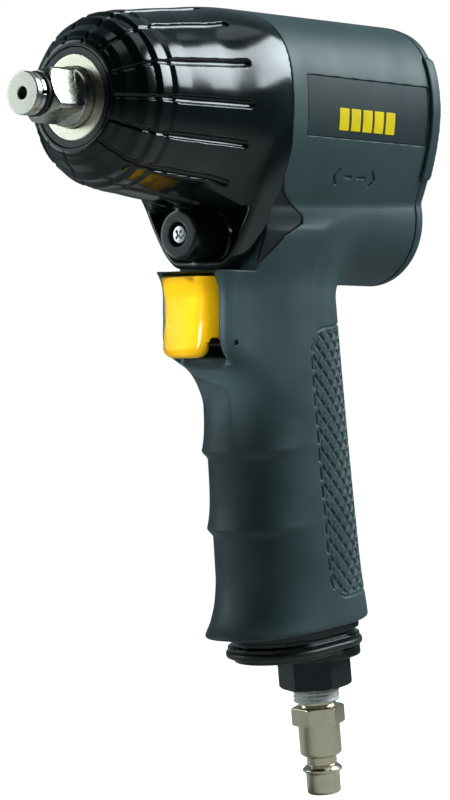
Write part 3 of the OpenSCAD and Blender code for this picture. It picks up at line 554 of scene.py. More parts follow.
def panel_bar(x, y, z):
    """Row of plain bars on each panel."""
    skin = body_section(x, y, z)
    pitch = (BARS_HIGH[0] - BARS_LOW[0] - BAR_W) / (BAR_COUNT - 1)
    first = BARS_LOW[0] + BAR_W / 2
    nearest = np.clip(np.round((x - first) / pitch), 0, BAR_COUNT - 1)
    middle_z = (BARS_LOW[2] + BARS_HIGH[2]) / 2
    half_z = (BARS_HIGH[2] - BARS_LOW[2]) / 2
    bar = rounded_rect(x - first - nearest * pitch, z - middle_z, BAR_W / 2, half_z, 0.3)
    shape = blend_max(skin + 0.03, bar, 0.1)
    return np.maximum(shape, -(skin + 0.7))


LUG_PROUD = 1
LUG_HALF_H = 18.5
SPIGOT_BORE_R = 18
VALVE_BORE_R = 4.55
HEAD_SEAT_R, HEAD_SEAT_DEPTH = 3.3, 2.4
DETENT_Z, DETENT_R = 9, 1.3


def rear_cap(x, y, z):
    """Rear cover with side lugs, a dial seat and screw recesses."""
    body = blend_max(barrel_and_belly(x, y, z), x - FLANGE_X, 0.2)
    lug = blend_max(body_section(x, y, z) - LUG_PROUD, np.abs(z) - LUG_HALF_H, 1.2)
    lug = blend_max(lug, x - LUG_FRONT, 0.8)
    lug = np.maximum(lug, -body_section(x, y, z) + 0.02)
    shape = np.minimum(body, lug)
    shape = round_max(shape, REAR_X - x, 3.2)
    spigot = np.maximum(rod(y, z, MOTOR_R - 0.05), slab(x, REAR_X + 2, SPIGOT_FRONT))
    shape = np.minimum(shape, spigot)
    shape = cut(shape, np.maximum(rod(y, z, SPIGOT_BORE_R), SPIGOT_FRONT - 0.6 - x), 0.1)
    seat = np.maximum(rod(y, z, DIAL_HIGH[1] + 0.3), x - DIAL_HIGH[0] - 0.05)
    shape = cut(shape, seat, 0.5)
    tie = tie_holes(y, z)
    shape = cut(shape, tie - TIE_HOLE_R, 0.1)
    head = np.maximum(tie - HEAD_SEAT_R, x - REAR_X - HEAD_SEAT_DEPTH)
    shape = cut(shape, head, 0.3)
    shape = cut(shape, rod(y, z, VALVE_BORE_R), 0.1)
    detent = np.maximum(rod(y, z - DETENT_Z, DETENT_R), x - DIAL_HIGH[0] - 3.75)
    return cut(shape, detent, 0.1)


# ---- nose ----

NOSE_R = [(3, 16.2), (6, 19.2), (10, 22.6), (14, 24.4), (18, 25.4), (24, 26.1), (32, 27.1),
          (46, 28.3), (62, 29.4)]
TREADS = [(3.2, 0), (4.3, -0.3), (5.2, 0.3), (8, -0.45), (9.6, 0.4), (12.5, -0.45), (13.5, 0.45),
          (17.2, -0.4), (18.4, 0.12), (24, 0)]
GROOVE_ANGLES = (76, 51, 22, -2, -25, -51, -76)
GROOVE_END = 46.5
SHIELD_FRONT = SEAM_X + 8
SHIELD_FLOOR = SEAM_X + 3
SHIELD_TOP = -10
SHIELD_EDGE = [(28.9, -10), (27.4, -16), (25.1, -22.7), (21.6, -30.1), (16.7, -38.9), (13.2, -43.6),
               (9.5, -46.3), (0, -46.6)]
SHIELD_WALL = 2.2
BOSS_R = 7.25
BOSS_FRONT = -45
WEB_HALF_W = 2
WEB_FRONT = -47
WEB_TOP = -24
NOSE_WALL = 2
SNOUT_R = 14.1


def shield_section(y, z):
    """Outline below the barrel, as the field of its convex edges."""
    side = np.abs(y)
    shape = side - 40
    for (ay, az), (by, bz) in zip(SHIELD_EDGE, SHIELD_EDGE[1:]):
        length = math.hypot(by - ay, bz - az)
        shape = blend_max(shape, ((side - ay) * (az - bz) + (z - az) * (by - ay)) / length, 1.2)
    return shape


def dome(x, y, z):
    """Round nose that grows into the section of the barrel at the seam."""
    back = -x
    radius = curve(back, NOSE_R) + np.interp(back, *zip(*TREADS))
    round_nose = (np.hypot(y, z) - radius) * curve(back, [(3, 0.72), (14, 0.94), (24, 1), (70, 1)])
    flange = body_section(SEAM_X, y, z)
    return round_nose + (flange - round_nose) * ease(back, 38, 60)


def nose_grooves(x, y, z, skin):
    """Round-bottomed grooves along the nose, finer through the treads."""
    back = -x
    width = np.interp(back, [3, 16, 20], [0.6, 0.7, 1.2])
    past = np.maximum(back - GROOVE_END + 1.2, 0)
    side = np.abs(y)
    found = 1e3
    for angle in GROOVE_ANGLES:
        c, s = math.cos(math.radians(angle)), math.sin(math.radians(angle))
        across = z * c - side * s
        ahead = (z * s + side * c) < 0
        groove = np.sqrt(across ** 2 + (skin - 0.1) ** 2 + past ** 2) - width
        found = np.minimum(found, groove + 1e3 * ahead)
    return found


def shield(x, y, z):
    """Hollow shield at the seam, under the barrel."""
    outline = shield_section(y, z)
    rim = blend_max(outline, x - SHIELD_FRONT, 1.5)
    rim = blend_max(rim, (z - SHIELD_TOP + 1.3 * (x - SEAM_X)) * 0.61, 5)
    pocket = blend_max(outline + SHIELD_WALL, SHIELD_FLOOR - x, 2)
    return cut(rim, pocket, 0.9)


def screw_boss(x, y, z):
    """Boss of the cover screw, hung from the barrel by a web."""
    boss = blend_max(rod(y, z - SCREW_Z, BOSS_R), x - BOSS_FRONT, 0.9)
    web = blend_max(np.abs(y) - WEB_HALF_W, slab(z, SCREW_Z, WEB_TOP), 1)
    web = blend_max(web, x - WEB_FRONT, 1.5)
    return blend_min(boss, web, 2)


def nose(x, y, z):
    """Nose cover: grooved dome, shield and screw boss, hollow behind."""
    skin = dome(x, y, z)
    shape = blend_max(skin, x - LIP_X, 0.8)
    shape = cut(shape, nose_grooves(x, y, z, skin), 0.35)
    shape = blend_min(shape, shield(x, y, z), 1.6 + 4 * ease(z, -34, -22))
    shape = blend_min(shape, screw_boss(x, y, z), 1.6)
    shape = np.maximum(shape, SEAM_X - x)
    inner = np.hypot(y, z) - curve(-x, NOSE_R) + NOSE_WALL
    inner = np.maximum(inner, x + 6)
    shape = cut(shape, inner, 0.2)
    shape = cut(shape, rod(y, z, SNOUT_R), 0.4)
    head = np.maximum(rod(y, z - SCREW_Z, 3.5), SCREW_HIGH[0] - 2.4 - x)
    hole = np.minimum(rod(y, z - SCREW_Z, SCREW_HOLE_R), head)
    return cut(shape, hole, 0.25)


# ---- drive end ----

DRIVE_LEN = 10.9
DRIVE_HALF = 6.35
DRIVE_TURN = math.radians(20)
SHANK_R = 8.5
GROOVE_R = 4.6
DISC_R = 6.1
DISC_HALF_T = 1
PIN_BORE_R, PIN_BORE_DEPTH = 1.7, 6
STOP_R = 10.4
STOP_X = (-30.4, -25.6)
TAIL_R = 8
TAIL_X = -34
LOBE_R = 10.6
LOBES = ((-43.5, 1), (-55.5, -1))
LOBE_LEN = 9
ANVIL_BORE_R, ANVIL_BORE_DEPTH = 4, 8


def turned(u, v, angle):
    """Coordinates turned by an angle in radians."""
    c, s = math.cos(angle), math.sin(angle)
    return u * c + v * s, v * c - u * s


def square_drive(x, y, z):
    """Bevelled square, ring groove, end disc and round shank."""
    a, b = turned(y, z, DRIVE_TURN)
    square = rounded_rect(a, b, DRIVE_HALF, DRIVE_HALF, 0.9)
    r = np.hypot(y, z)
    corner = blend_max(r - SHANK_R + 0.25, (r - SHANK_R + 1.9 + (x - DRIVE_LEN)) * 0.72, 0.3)
    square = blend_max(square, corner, 0.35)
    square = blend_max(square, x - DRIVE_LEN, 0.3)
    shank = blend_max(r - SHANK_R, (x - 1.4 + (r - DRIVE_HALF) * 0.55) * 0.85, 0.8)
    shape = blend_min(square, shank, 0.5)
    groove = np.maximum(r - GROOVE_R, x - ANVIL_HIGH[0] + DISC_HALF_T)
    disc = blend_max(r - DISC_R, np.abs(x - ANVIL_HIGH[0] + DISC_HALF_T) - DISC_HALF_T, 0.35)
    shape = np.minimum(shape, np.minimum(groove, disc))
    return cut(shape, np.maximum(r - PIN_BORE_R, ANVIL_HIGH[0] - PIN_BORE_DEPTH - x), 0.3)


def anvil(x, y, z):
    """Anvil: the square drive with its stop collar, tail and striking lobes."""
    r = np.hypot(y, z)
    stop = np.maximum(r - STOP_R, slab(x, *STOP_X))
    tail = np.maximum(r - TAIL_R, x - TAIL_X)
    shape = np.maximum(square_drive(x, y, z), TAIL_X - x)
    shape = np.minimum(np.minimum(shape, stop), tail)
    shape = np.maximum(shape, ANVIL_LOW[0] - x)
    turn = np.arctan2(y, np.abs(z))
    for front, side in LOBES:
        lobe = np.maximum(r - LOBE_R, np.abs(turn) * 9.5 - 3.4)
        lobe = np.maximum(lobe, slab(x, front - 0.4, front + LOBE_LEN + 0.4))
        shape = np.minimum(shape, np.maximum(lobe, -side * z))
    bore = np.maximum(r - ANVIL_BORE_R, x - ANVIL_LOW[0] - ANVIL_BORE_DEPTH)
    return cut(shape, bore, 0.2)


def front_ring(x, y, z):
    """Champagne ring round the shank, lightly bevelled at its outer edge."""
    r = np.hypot(y, z)
    wall = slab(r, SHANK_R + 0.05, RING_HIGH[1])
    shape = blend_max(wall, x - RING_HIGH[0], 0.5)
    return np.maximum(shape, RING_LOW[0] - x)


# ---- trigger ----

TRIGGER_FRONT = TRIGGER_HIGH[0]
TRIGGER_BACK = TRIGGER_LOW[0]
TRIGGER_HALF_W = TRIGGER_HIGH[1]
TRIGGER_FOOT_X = -51
FACE_LINE = [(-74, -1.4), (-70, -0.7), (-67, -1.2), (-61, -1.9), (-55, -1.7), (-51, -0.6), (-48.7, 0)]
SLOT_R = 1.45
SLOT_LEN = 4.7
TRIGGER_WALL = 2.4
TRIGGER_HOLLOW_X = -50
ROD_BOSS_R = 3.7
ROD_HOLE_R = 1.9


def trigger(x, y, z):
    """Yellow trigger: concave face, cut-back corners, rounded foot and a hollow back."""
    low, high = TRIGGER_LOW[2], TRIGGER_HIGH[2]
    side = np.abs(y)
    ahead = x - TRIGGER_FRONT - curve(z, FACE_LINE) + 0.006 * y * y
    corner = (ahead * 2.3 + (side - TRIGGER_HALF_W + 2.3) * 3.3) / math.hypot(2.3, 3.3)
    plan = blend_max(blend_max(ahead, corner, 1.6), side - TRIGGER_HALF_W, 2.2)
    foot = blend_max(low - z, TRIGGER_FOOT_X - x, 6)
    foot = round_max(plan, foot, 3.6)
    back = np.maximum(plan, slab(x, TRIGGER_BACK, TRIGGER_FOOT_X + 4))
    back = np.maximum(back, PIN_Z - z)
    shape = np.minimum(foot, back)
    shape = blend_max(shape, z - high, 1.0)
    hollow = rounded_rect(y, z - (low + high) / 2 + 0.5, TRIGGER_HALF_W - TRIGGER_WALL, 9, 1)
    hollow = np.maximum(hollow, x - TRIGGER_HOLLOW_X)
    boss = np.maximum(rod(y, z - ROD_Z, ROD_BOSS_R), TRIGGER_HOLLOW_X - 4 - x)
    shape = cut(shape, cut(hollow, boss, 0.3), 0.3)
    bore = np.maximum(rod(y, z - ROD_Z, ROD_HOLE_R), x - ROD_HIGH[0] - 0.05)
    shape = cut(shape, bore, 0.1)
    slot = np.hypot(np.maximum(x - PIN_X - SLOT_LEN, 0), z - PIN_Z) - SLOT_R
    return cut(shape, slot, 0.3)


# ---- collar, bush and plug, in the leaning frame ----

COLLAR_HALF_D, COLLAR_HALF_W = 21.8, 15.6
COLLAR_T = 8.8
PLATE_T = 2
SEAL_T = 1.2
BEAD_V = -GRIP_LEN - 6.3
PLATE_R = 14.2
SEAL_SEAT_R = 9.85
SLOT_PITCH = 4.4
SLOT_ROWS = 2


def collar(x, y, z):
    """Exhaust collar: ridge, groove, seat of the bead, tapered skirt, inlet plate and slots."""
    u, v = in_grip(x, z)
    down = -GRIP_LEN - v
    oval = stadium(u, y, COLLAR_HALF_D, COLLAR_HALF_W)
    inset = np.interp(down, [0, 2.2, 2.5, 3.7, 4.0, 5.2, 5.4, COLLAR_T],
                      [0, 0.1, 1.5, 1.5, 0.1, 0, 1.3, 1.7])
    shape = blend_max(oval + inset, slab(down, 0, COLLAR_T), 0.5)
    plate = slab(down, COLLAR_T - 1, COLLAR_T + PLATE_T)
    plate = blend_max(rod(u - INLET_X, y, PLATE_R), plate, 0.4)
    shape = np.minimum(shape, plate)
    shape = cut(shape, rod(u - INLET_X, y, THREAD_R + 0.05), 0.2)
    seat = np.maximum(rod(u - INLET_X, y, SEAL_SEAT_R), COLLAR_T + PLATE_T - SEAL_T - down)
    shape = cut(shape, seat, 0.1)
    row = np.clip(np.round(y / SLOT_PITCH), -SLOT_ROWS, SLOT_ROWS)
    slot = stadium(u - 12, y - SLOT_PITCH * row, 6 - np.abs(row), 1.2)
    return cut(shape, slot, 0.3)


def bead(x, y, z):
    """Rubber bead round the collar."""
    u, v = in_grip(x, z)
    oval = stadium(u, y, COLLAR_HALF_D, COLLAR_HALF_W)
    return rounded_rect(oval + 0.4, v - BEAD_V, 1, 1.1, 0.85)


HEX_TOP = -GRIP_LEN - COLLAR_T - PLATE_T
HEX_LOW = HEX_TOP - 9.2
BUSH_HALF_FLAT = 9.5
BUSH_TURN = math.radians(8)
BUSH_STEM_R, BUSH_STEM_LEN = 8.05, 14
BUSH_BORE_R = 4
PLUG_THREAD_R, PLUG_THREAD_LEN = 6.65, 8.6


def bush(x, y, z):
    """Hexagonal inlet bush with chamfered corners."""
    u, v = in_grip(x, z)
    u = u - INLET_X
    r = np.hypot(u, y)
    a, b = turned(u, y, BUSH_TURN)
    hexa = hexagon(b, a, BUSH_HALF_FLAT)
    hexa = blend_max(hexa, slab(v, HEX_LOW, HEX_TOP), 0.3)
    for end in (v - HEX_TOP, HEX_LOW - v):
        hexa = blend_max(hexa, (r - 10 + 1.7 * end) * 0.5, 0.3)
    stem = np.maximum(r - BUSH_STEM_R, slab(v, HEX_TOP - 1, -GRIP_LEN + BUSH_STEM_LEN))
    shape = np.minimum(hexa, stem)
    shape = cut(shape, np.maximum(r - PLUG_THREAD_R, v - HEX_LOW - PLUG_THREAD_LEN), 0.2)
    return cut(shape, r - BUSH_BORE_R, 0.1)


PLUG_HEX = HEX_LOW - 5.9
PLUG_HEX_T = 5.4
PLUG_HALF_FLAT = 7
PLUG_TURN = math.radians(20)
PLUG_BORE_R = 3.6
PLUG_LINE = [(0, -14), (6.5, -14), (6.5, -2.6), (5.6, -1.8), (5.6, -0.8), (6.4, 0.3), (6.25, 5),
             (6.25, 14), (5.9, 14.5), (4.5, 15.3), (4.5, 17.6), (5.3, 18.2), (5.95, 18.9),
             (5.95, 19.4), (5.3, 20), (5.05, 20.4), (5.05, 25.8), (4.55, 26.4), (0, 26.4)]
TAPE_T = 4.2
TAPE_WAVE, TAPE_PITCH = 0.16, 1.25


def plug(x, y, z):
    """Air plug: thread, hexagon, body, neck, bead and tip."""
    u, v = in_grip(x, z)
    u = u - INLET_X
    r = np.hypot(u, y)
    down = PLUG_HEX - v
    a, b = turned(u, y, PLUG_TURN)
    hexa = blend_max(hexagon(b, a, PLUG_HALF_FLAT), slab(down, 0, PLUG_HEX_T), 0.2)
    for depth in (down, PLUG_HEX_T - down):
        hexa = blend_max(hexa, (r - 7.5 - 1.7 * depth) * 0.5, 0.2)
    shape = blend_min(hexa, polygon(r, down, PLUG_LINE), 0.25)
    return cut(shape, r - PLUG_BORE_R, 0.4)


def tape(x, y, z):
    """Wrapped thread tape that bulges over the turns of the thread."""
    u, v = in_grip(x, z)
    r = np.hypot(u - INLET_X, y)
    waves = TAPE_WAVE * np.cos(2 * math.pi * (v - HEX_LOW) / TAPE_PITCH)
    wall = slab(r, 6.5, 6.78 + waves)
    return blend_max(wall, slab(v, HEX_LOW - TAPE_T, HEX_LOW), 0.15)


# ---- small turned pieces ----

def snap_ring(x, y, z):
    """Split spring ring that holds the socket."""
    r = np.hypot(y, z)
    low, high = box_mm("socket_ring")
    middle = (low[0] + high[0]) / 2
    shape = rounded_rect(x - middle, r - 5.35, (high[0] - low[0]) / 2, 0.7, 0.4)
    return cut(shape, np.maximum(np.abs(z) - 0.5, 2 - y), 0.1)


def seal_ring(x, y, z):
    """Rubber ring under the spring ring."""
    low, high = box_mm("socket_seal")
    return np.hypot(x - (low[0] + high[0]) / 2, np.hypot(y, z) - 5.5) - 0.88


CROSS_HALF_W = 0.34
CROSS_HALF_L = 1.7


def cross_screw(x, y, z):
    """Cover screw with a domed head and a crossed recess."""
    v = z - SCREW_Z
    r = np.hypot(y, v)
    head = SCREW_HIGH[0]
    shape = blend_max(r - 2.6, x - head + 0.03 * r * r, 0.4)
    shape = np.maximum(shape, head - 2.2 - x)
    shape = np.minimum(shape, np.maximum(r - 1.7, slab(x, SCREW_LOW[0], head - 1)))
    a, b = np.abs(y + v) / math.sqrt(2), np.abs(y - v) / math.sqrt(2)
    arm = np.maximum(np.minimum(a, b) - CROSS_HALF_W, np.maximum(a, b) - CROSS_HALF_L)
    floor = head - 1.3 + 0.35 * r
    return cut(shape, np.maximum(arm, floor - x), 0.12)


def dial(x, y, z):
    """Reverse dial with a finger bar and a grooved rim."""
    r = np.hypot(y, z)
    turn = np.arctan2(z, y)
    rim = DIAL_HIGH[1] - 0.18 + 0.18 * np.cos(36 * turn)
    face = REAR_X + 0.9
    shape = blend_max(r - rim, face - x, 0.5)
    dish = np.hypot(r, (x - face + 16)) - 16.4
    shape = cut(shape, np.maximum(dish, r - 10.8), 0.3)
    bar = rounded_rect(y, z, 2.1, DIAL_HIGH[1] - 1.4, 1.6)
    bar = blend_max(bar, DIAL_LOW[0] - x, 0.5)
    shape = np.minimum(shape, bar)
    shape = np.maximum(shape, x - DIAL_HIGH[0])
    return cut(shape, np.maximum(r - 4.5, DIAL_HIGH[0] - 0.4 - x), 0.1)


# ---- materials ----

class Shader:
    """Adds nodes to one material and links them."""

    def __init__(self, name):
        self.material = bpy.data.materials.new(name)
        self.material.use_nodes = True
        self.nodes = self.material.node_tree.nodes
        self.links = self.material.node_tree.links
        self.surface = self.nodes["Principled BSDF"]
        self.place = self.add("ShaderNodeTexCoord").outputs["Object"]

    def add(self, kind, **settings):
        node = self.nodes.new(kind)
        for key, value in settings.items():
            setattr(node, key, value)
        return node

    def put(self, socket, value):
        if isinstance(value, bpy.types.NodeSocket):
            self.links.new(value, socket)
        elif hasattr(socket.default_value, "__len__") and not hasattr(value, "__len__"):
            socket.default_value = (value, value, value, 1)
        elif hasattr(value, "__len__") and len(value) == 3 and len(socket.default_value) == 4:
            socket.default_value = (*value, 1)
        else:
            socket.default_value = value

    def set(self, **values):
        names = {"colour": "Base Color", "rough": "Roughness", "metal": "Metallic",
                 "normal": "Normal", "gloss": "Specular IOR Level", "sheen": "Sheen Weight",
                 "skin": "Subsurface Weight", "skin_reach": "Subsurface Radius",
                 "skin_scale": "Subsurface Scale"}
        for key, value in values.items():
            self.put(self.surface.inputs[names[key]], value)

    def scaled(self, scale, turn=0):
        """Coordinates scaled along each axis after a turn about Y."""
        node = self.add("ShaderNodeMapping", vector_type="TEXTURE")
        node.inputs["Rotation"].default_value = (0, turn, 0)
        node.inputs["Scale"].default_value = tuple(1 / s for s in scale)
        self.links.new(self.place, node.inputs["Vector"])
        return node.outputs["Vector"]

    def noise(self, size, detail=4, rough=0.55, place=None):
        """Noise between 0 and 1 whose lumps are size millimetres across."""
        node = self.add("ShaderNodeTexNoise")
        self.put(node.inputs["Vector"], place or self.place)
        node.inputs["Scale"].default_value = 1 / (size * MM)
        node.inputs["Detail"].default_value = detail
        node.inputs["Roughness"].default_value = rough
        return node.outputs["Fac"]

    def remap(self, value, low, high, to_low=0.0, to_high=1.0):
        node = self.add("ShaderNodeMapRange", clamp=True)
        for key, item in (("Value", value), ("From Min", low), ("From Max", high),
                          ("To Min", to_low), ("To Max", to_high)):
            self.put(node.inputs[key], item)
        return node.outputs["Result"]

    def maths(self, operation, a, b=0.0):
        node = self.add("ShaderNodeMath", operation=operation)
        self.put(node.inputs[0], a)
        self.put(node.inputs[1], b)
        return node.outputs["Value"]

    def mix(self, share, a, b):
        node = self.add("ShaderNodeMix", data_type="RGBA")
        self.put(node.inputs["Factor"], share)
        self.put(node.inputs["A"], a)
        self.put(node.inputs["B"], b)
        return node.outputs["Result"]

    def bump(self, height, depth, below=None):
        """Bump of the given depth in millimetres."""
        node = self.add("ShaderNodeBump")
        node.inputs["Strength"].default_value = 1
        node.inputs["Distance"].default_value = depth * MM
        self.put(node.inputs["Height"], height)
        if below is not None:
            self.put(node.inputs["Normal"], below)
        return node.outputs["Normal"]

    def edges(self, low=0.52, high=0.6):
        """1 on the sharp outer edges of a fine mesh, 0 elsewhere."""
        point = self.add("ShaderNodeNewGeometry").outputs["Pointiness"]
        return self.remap(point, low, high)

    def hollows(self, low=0.4, high=0.49):
        """1 in the creases of a fine mesh, 0 elsewhere."""
        point = self.add("ShaderNodeNewGeometry").outputs["Pointiness"]
        return self.remap(point, high, low)


def moulded(name, colour, rough, grain=0.02, grain_size=0.35, wear=0.25, spread=0.06, gloss=0.5):
    """Moulded plastic: fine grain, uneven sheen, pale worn edges and painted shade darkening the
    creases.
    """
    s = Shader(name)
    dark = [0.82 * c for c in colour]
    pale = [min(1, 1.5 * c + 0.012) for c in colour]
    base = s.mix(s.remap(s.noise(14), 0.35, 0.65), dark, colour)
    scuffs = s.remap(s.noise(2.2, 6, 0.7), 0.5, 0.72)
    worn = s.maths("MULTIPLY", s.edges(), s.maths("MULTIPLY", scuffs, wear))
    base = s.mix(worn, base, pale)
    # painted shade: creases found from the mesh's pointiness are darkened towards a darker copy of
    # the colour
    crease_shade = s.maths("MULTIPLY", s.hollows(), 0.35)
    base = s.mix(crease_shade, base, [0.6 * c for c in colour])
    smears = s.noise(9, 5, 0.6, s.scaled((1, 1, 0.45)))
    sheen = s.remap(smears, 0.3, 0.7, rough - spread, rough + spread)
    normal = s.bump(s.noise(grain_size, 3, 0.6), grain)
    normal = s.bump(s.noise(11, 2), 0.05, normal)
    s.set(colour=base, rough=sheen, normal=normal, gloss=gloss)
    return s


def turned_metal(name, colour, rough, turn=0, ring_depth=0.008, tarnish=0.2, wear=0.5):
    """Machined metal: fine rings about the axis, tarnish, bright edges and painted shade in the
    hollows.
    """
    s = Shader(name)
    rings = s.noise(0.35, 3, 0.6, s.scaled((1, 0.02, 0.02) if turn == 0 else (0.02, 0.02, 1), turn))
    blotch = s.remap(s.noise(4.5, 5, 0.65), 0.38, 0.7)
    dull = [c * 0.62 for c in colour]
    base = s.mix(s.maths("MULTIPLY", blotch, tarnish), colour, dull)
    # painted shade: hollows found from the mesh's pointiness are darkened to about a third of the
    # colour
    base = s.mix(s.maths("MULTIPLY", s.hollows(), 0.5), base, [c * 0.35 for c in colour])
    base = s.mix(s.maths("MULTIPLY", s.edges(), wear), base, [min(1, 1.25 * c) for c in colour])
    sheen = s.remap(s.noise(1.6, 4, 0.6), 0.3, 0.7, rough * 0.75, rough * 1.3)
    normal = s.bump(rings, ring_depth)
    normal = s.bump(s.noise(0.9, 2, 0.5), 0.0015, normal)
    s.set(colour=base, metal=1.0, rough=sheen, normal=normal)
    return s


def soft(name, colour, rough, grain, grain_size, sheen=0.0):
    """Rubber, felt or gasket board: matt, mottled and a little fuzzy."""
    s = Shader(name)
    base = s.mix(s.remap(s.noise(1.8, 5), 0.35, 0.65), [0.7 * c for c in colour], colour)
    normal = s.bump(s.noise(grain_size, 5, 0.7), grain)
    rough_map = s.remap(s.noise(3), 0.3, 0.7, rough - 0.08, rough + 0.08)
    s.set(colour=base, rough=rough_map, normal=normal, sheen=sheen)
    return s


def slate_composite():
    return moulded("slate_composite", (0.055, 0.088, 0.092), 0.46, grain=0.012, grain_size=0.4,
                   gloss=0.25)


def gloss_black():
    return moulded("gloss_black", (0.008, 0.012, 0.013), 0.15, grain=0.001, wear=0.12, spread=0.04)


def dark_plastic():
    return moulded("dark_plastic", (0.014, 0.02, 0.022), 0.5, grain=0.01, gloss=0.3)


def panel_plastic():
    return moulded("panel_plastic", (0.03, 0.045, 0.048), 0.5, grain=0.004, wear=0.05, gloss=0.2)


def yellow_bar():
    return moulded("yellow_bar", (0.98, 0.72, 0.006), 0.5, grain=0.002, wear=0.0, gloss=0.15)


def yellow_plastic():
    s = moulded("yellow_plastic", (0.95, 0.49, 0.005), 0.3, grain=0.003, wear=0.1, gloss=0.2)
    s.set(skin=0.18, skin_reach=(1.0, 0.45, 0.1), skin_scale=1.5 * MM)
    return s


def drive_steel():
    return turned_metal("drive_steel", (0.56, 0.54, 0.47), 0.26, ring_depth=0.004, tarnish=0.12)


def champagne():
    return turned_metal("champagne", (0.8, 0.75, 0.6), 0.3, ring_depth=0.01)


def nickel():
    return turned_metal("nickel", (0.78, 0.7, 0.5), 0.2, LEAN, ring_depth=0.01, tarnish=0.25)


def black_oxide():
    s = turned_metal("black_oxide", (0.035, 0.037, 0.04), 0.36, LEAN, tarnish=0.4, wear=0.9)
    s.set(metal=0.7)
    return s


def zinc():
    return turned_metal("zinc", (0.6, 0.61, 0.62), 0.3)


def alloy():
    """Cast alloy, black where the snout of the hammer case shows."""
    s = turned_metal("alloy", (0.58, 0.59, 0.6), 0.38)
    split = s.add("ShaderNodeSeparateXYZ")
    s.links.new(s.place, split.inputs["Vector"])
    snout = s.remap(split.outputs["X"], -8.5 * MM, -8 * MM)
    plain = s.surface.inputs["Base Color"].links[0].from_socket
    s.set(colour=s.mix(snout, plain, (0.012, 0.013, 0.014)), metal=s.maths("SUBTRACT", 1, snout))
    return s


def dark_steel():
    return turned_metal("dark_steel", (0.2, 0.2, 0.21), 0.32)


def spring_steel():
    return turned_metal("spring_steel", (0.6, 0.59, 0.55), 0.16)


def bearing_steel():
    return turned_metal("bearing_steel", (0.7, 0.71, 0.73), 0.09, tarnish=0.08)


def brass():
    return turned_metal("brass", (0.72, 0.52, 0.22), 0.26)


def seal_rubber():
    return soft("seal_rubber", (0.014, 0.014, 0.015), 0.42, 0.01, 0.3)


def gasket():
    return soft("gasket", (0.02, 0.03, 0.032), 0.8, 0.03, 0.25)


def vane_fibre():
    return soft("vane_fibre", (0.22, 0.12, 0.06), 0.55, 0.03, 0.5)


def felt():
    return soft("felt", (0.4, 0.38, 0.32), 0.9, 0.12, 0.2, sheen=0.4)


def ptfe():
    s = soft("ptfe", (0.86, 0.86, 0.83), 0.5, 0.05, 0.5)
    s.set(skin=0.2, skin_reach=(1, 1, 1), skin_scale=0.5 * MM)
    return s


MAKERS = (slate_composite, gloss_black, dark_plastic, panel_plastic, yellow_bar, yellow_plastic,
          drive_steel, champagne, nickel, black_oxide, zinc, alloy, dark_steel, spring_steel,
          bearing_steel, brass, seal_rubber, gasket, vane_fibre, felt, ptfe)
MATERIALS = {make.__name__: make().material for make in MAKERS}


# ---- pieces ----

mesh_field("Motor_housing", housing, ["motor_housing"], 0.45, "slate_composite")
mesh_field("Nose_cover", nose, ["nose_cover"], 0.42, "gloss_black")
mesh_field("Rear_cover", rear_cap, ["rear_cover"], 0.45, "slate_composite")
mesh_field("Side_insets", side_inset, ["side_insets"], 0.3, "dark_plastic",
           low=(-76, -26, -46), high=(HOUSING_X + 0.5, 26, -18))
mesh_field("Name_panels", name_panel, ["name_panels"], 0.3, "panel_plastic")
mesh_field("Panel_bars", panel_bar, ["panel_bars"], 0.16, "yellow_bar")
mesh_field("Anvil", anvil, ["anvil"], 0.24, "drive_steel")
mesh_field("Nose_ring", front_ring, ["nose_ring"], 0.26, "champagne")
mesh_field("Socket_ring", snap_ring, ["socket_ring"], 0.14, "spring_steel")
mesh_field("Socket_seal", seal_ring, ["socket_seal"], 0.16, "seal_rubber")
mesh_field("Cover_screw", cross_screw, ["cover_screw"], 0.13, "zinc")
mesh_field("Trigger", trigger, ["trigger"], 0.3, "yellow_plastic")
mesh_field("Reverse_dial", dial, ["reverse_dial"], 0.25, "dark_plastic")
mesh_field("Exhaust_collar", collar, ["exhaust_collar"], 0.33, "gloss_black")
mesh_field("Collar_bead", bead, ["collar_bead"], 0.3, "seal_rubber")
mesh_field("Inlet_bush", bush, ["inlet_bush"], 0.25, "black_oxide")
mesh_field("Thread_tape", tape, ["thread_tape"], 0.16, "ptfe")
mesh_field("Air_plug", plug, ["air_plug"], 0.2, "nickel")


def dress_cad_nodes():
    """Gives every CAD node its material, and soft shading to those still shown."""
    for part in frame["record"]["subparts"]:
        node = frame["nodes"][part["node"]]
        node.data.materials.clear()
        slot = "black_oxide" if part["node"] == "trigger_pin" else part["material_slot"]
        node.data.materials.append(MATERIALS[slot])
        if node.hide_render:
            continue
        node.data.polygons.foreach_set("use_smooth", [True] * len(node.data.polygons))
        node.data.set_sharp_from_angle(angle=math.radians(30))


dress_cad_nodes()


# ---- floor, light and camera ----

FLOOR_HALF = 6.0
FLOOR_STEPS = 8


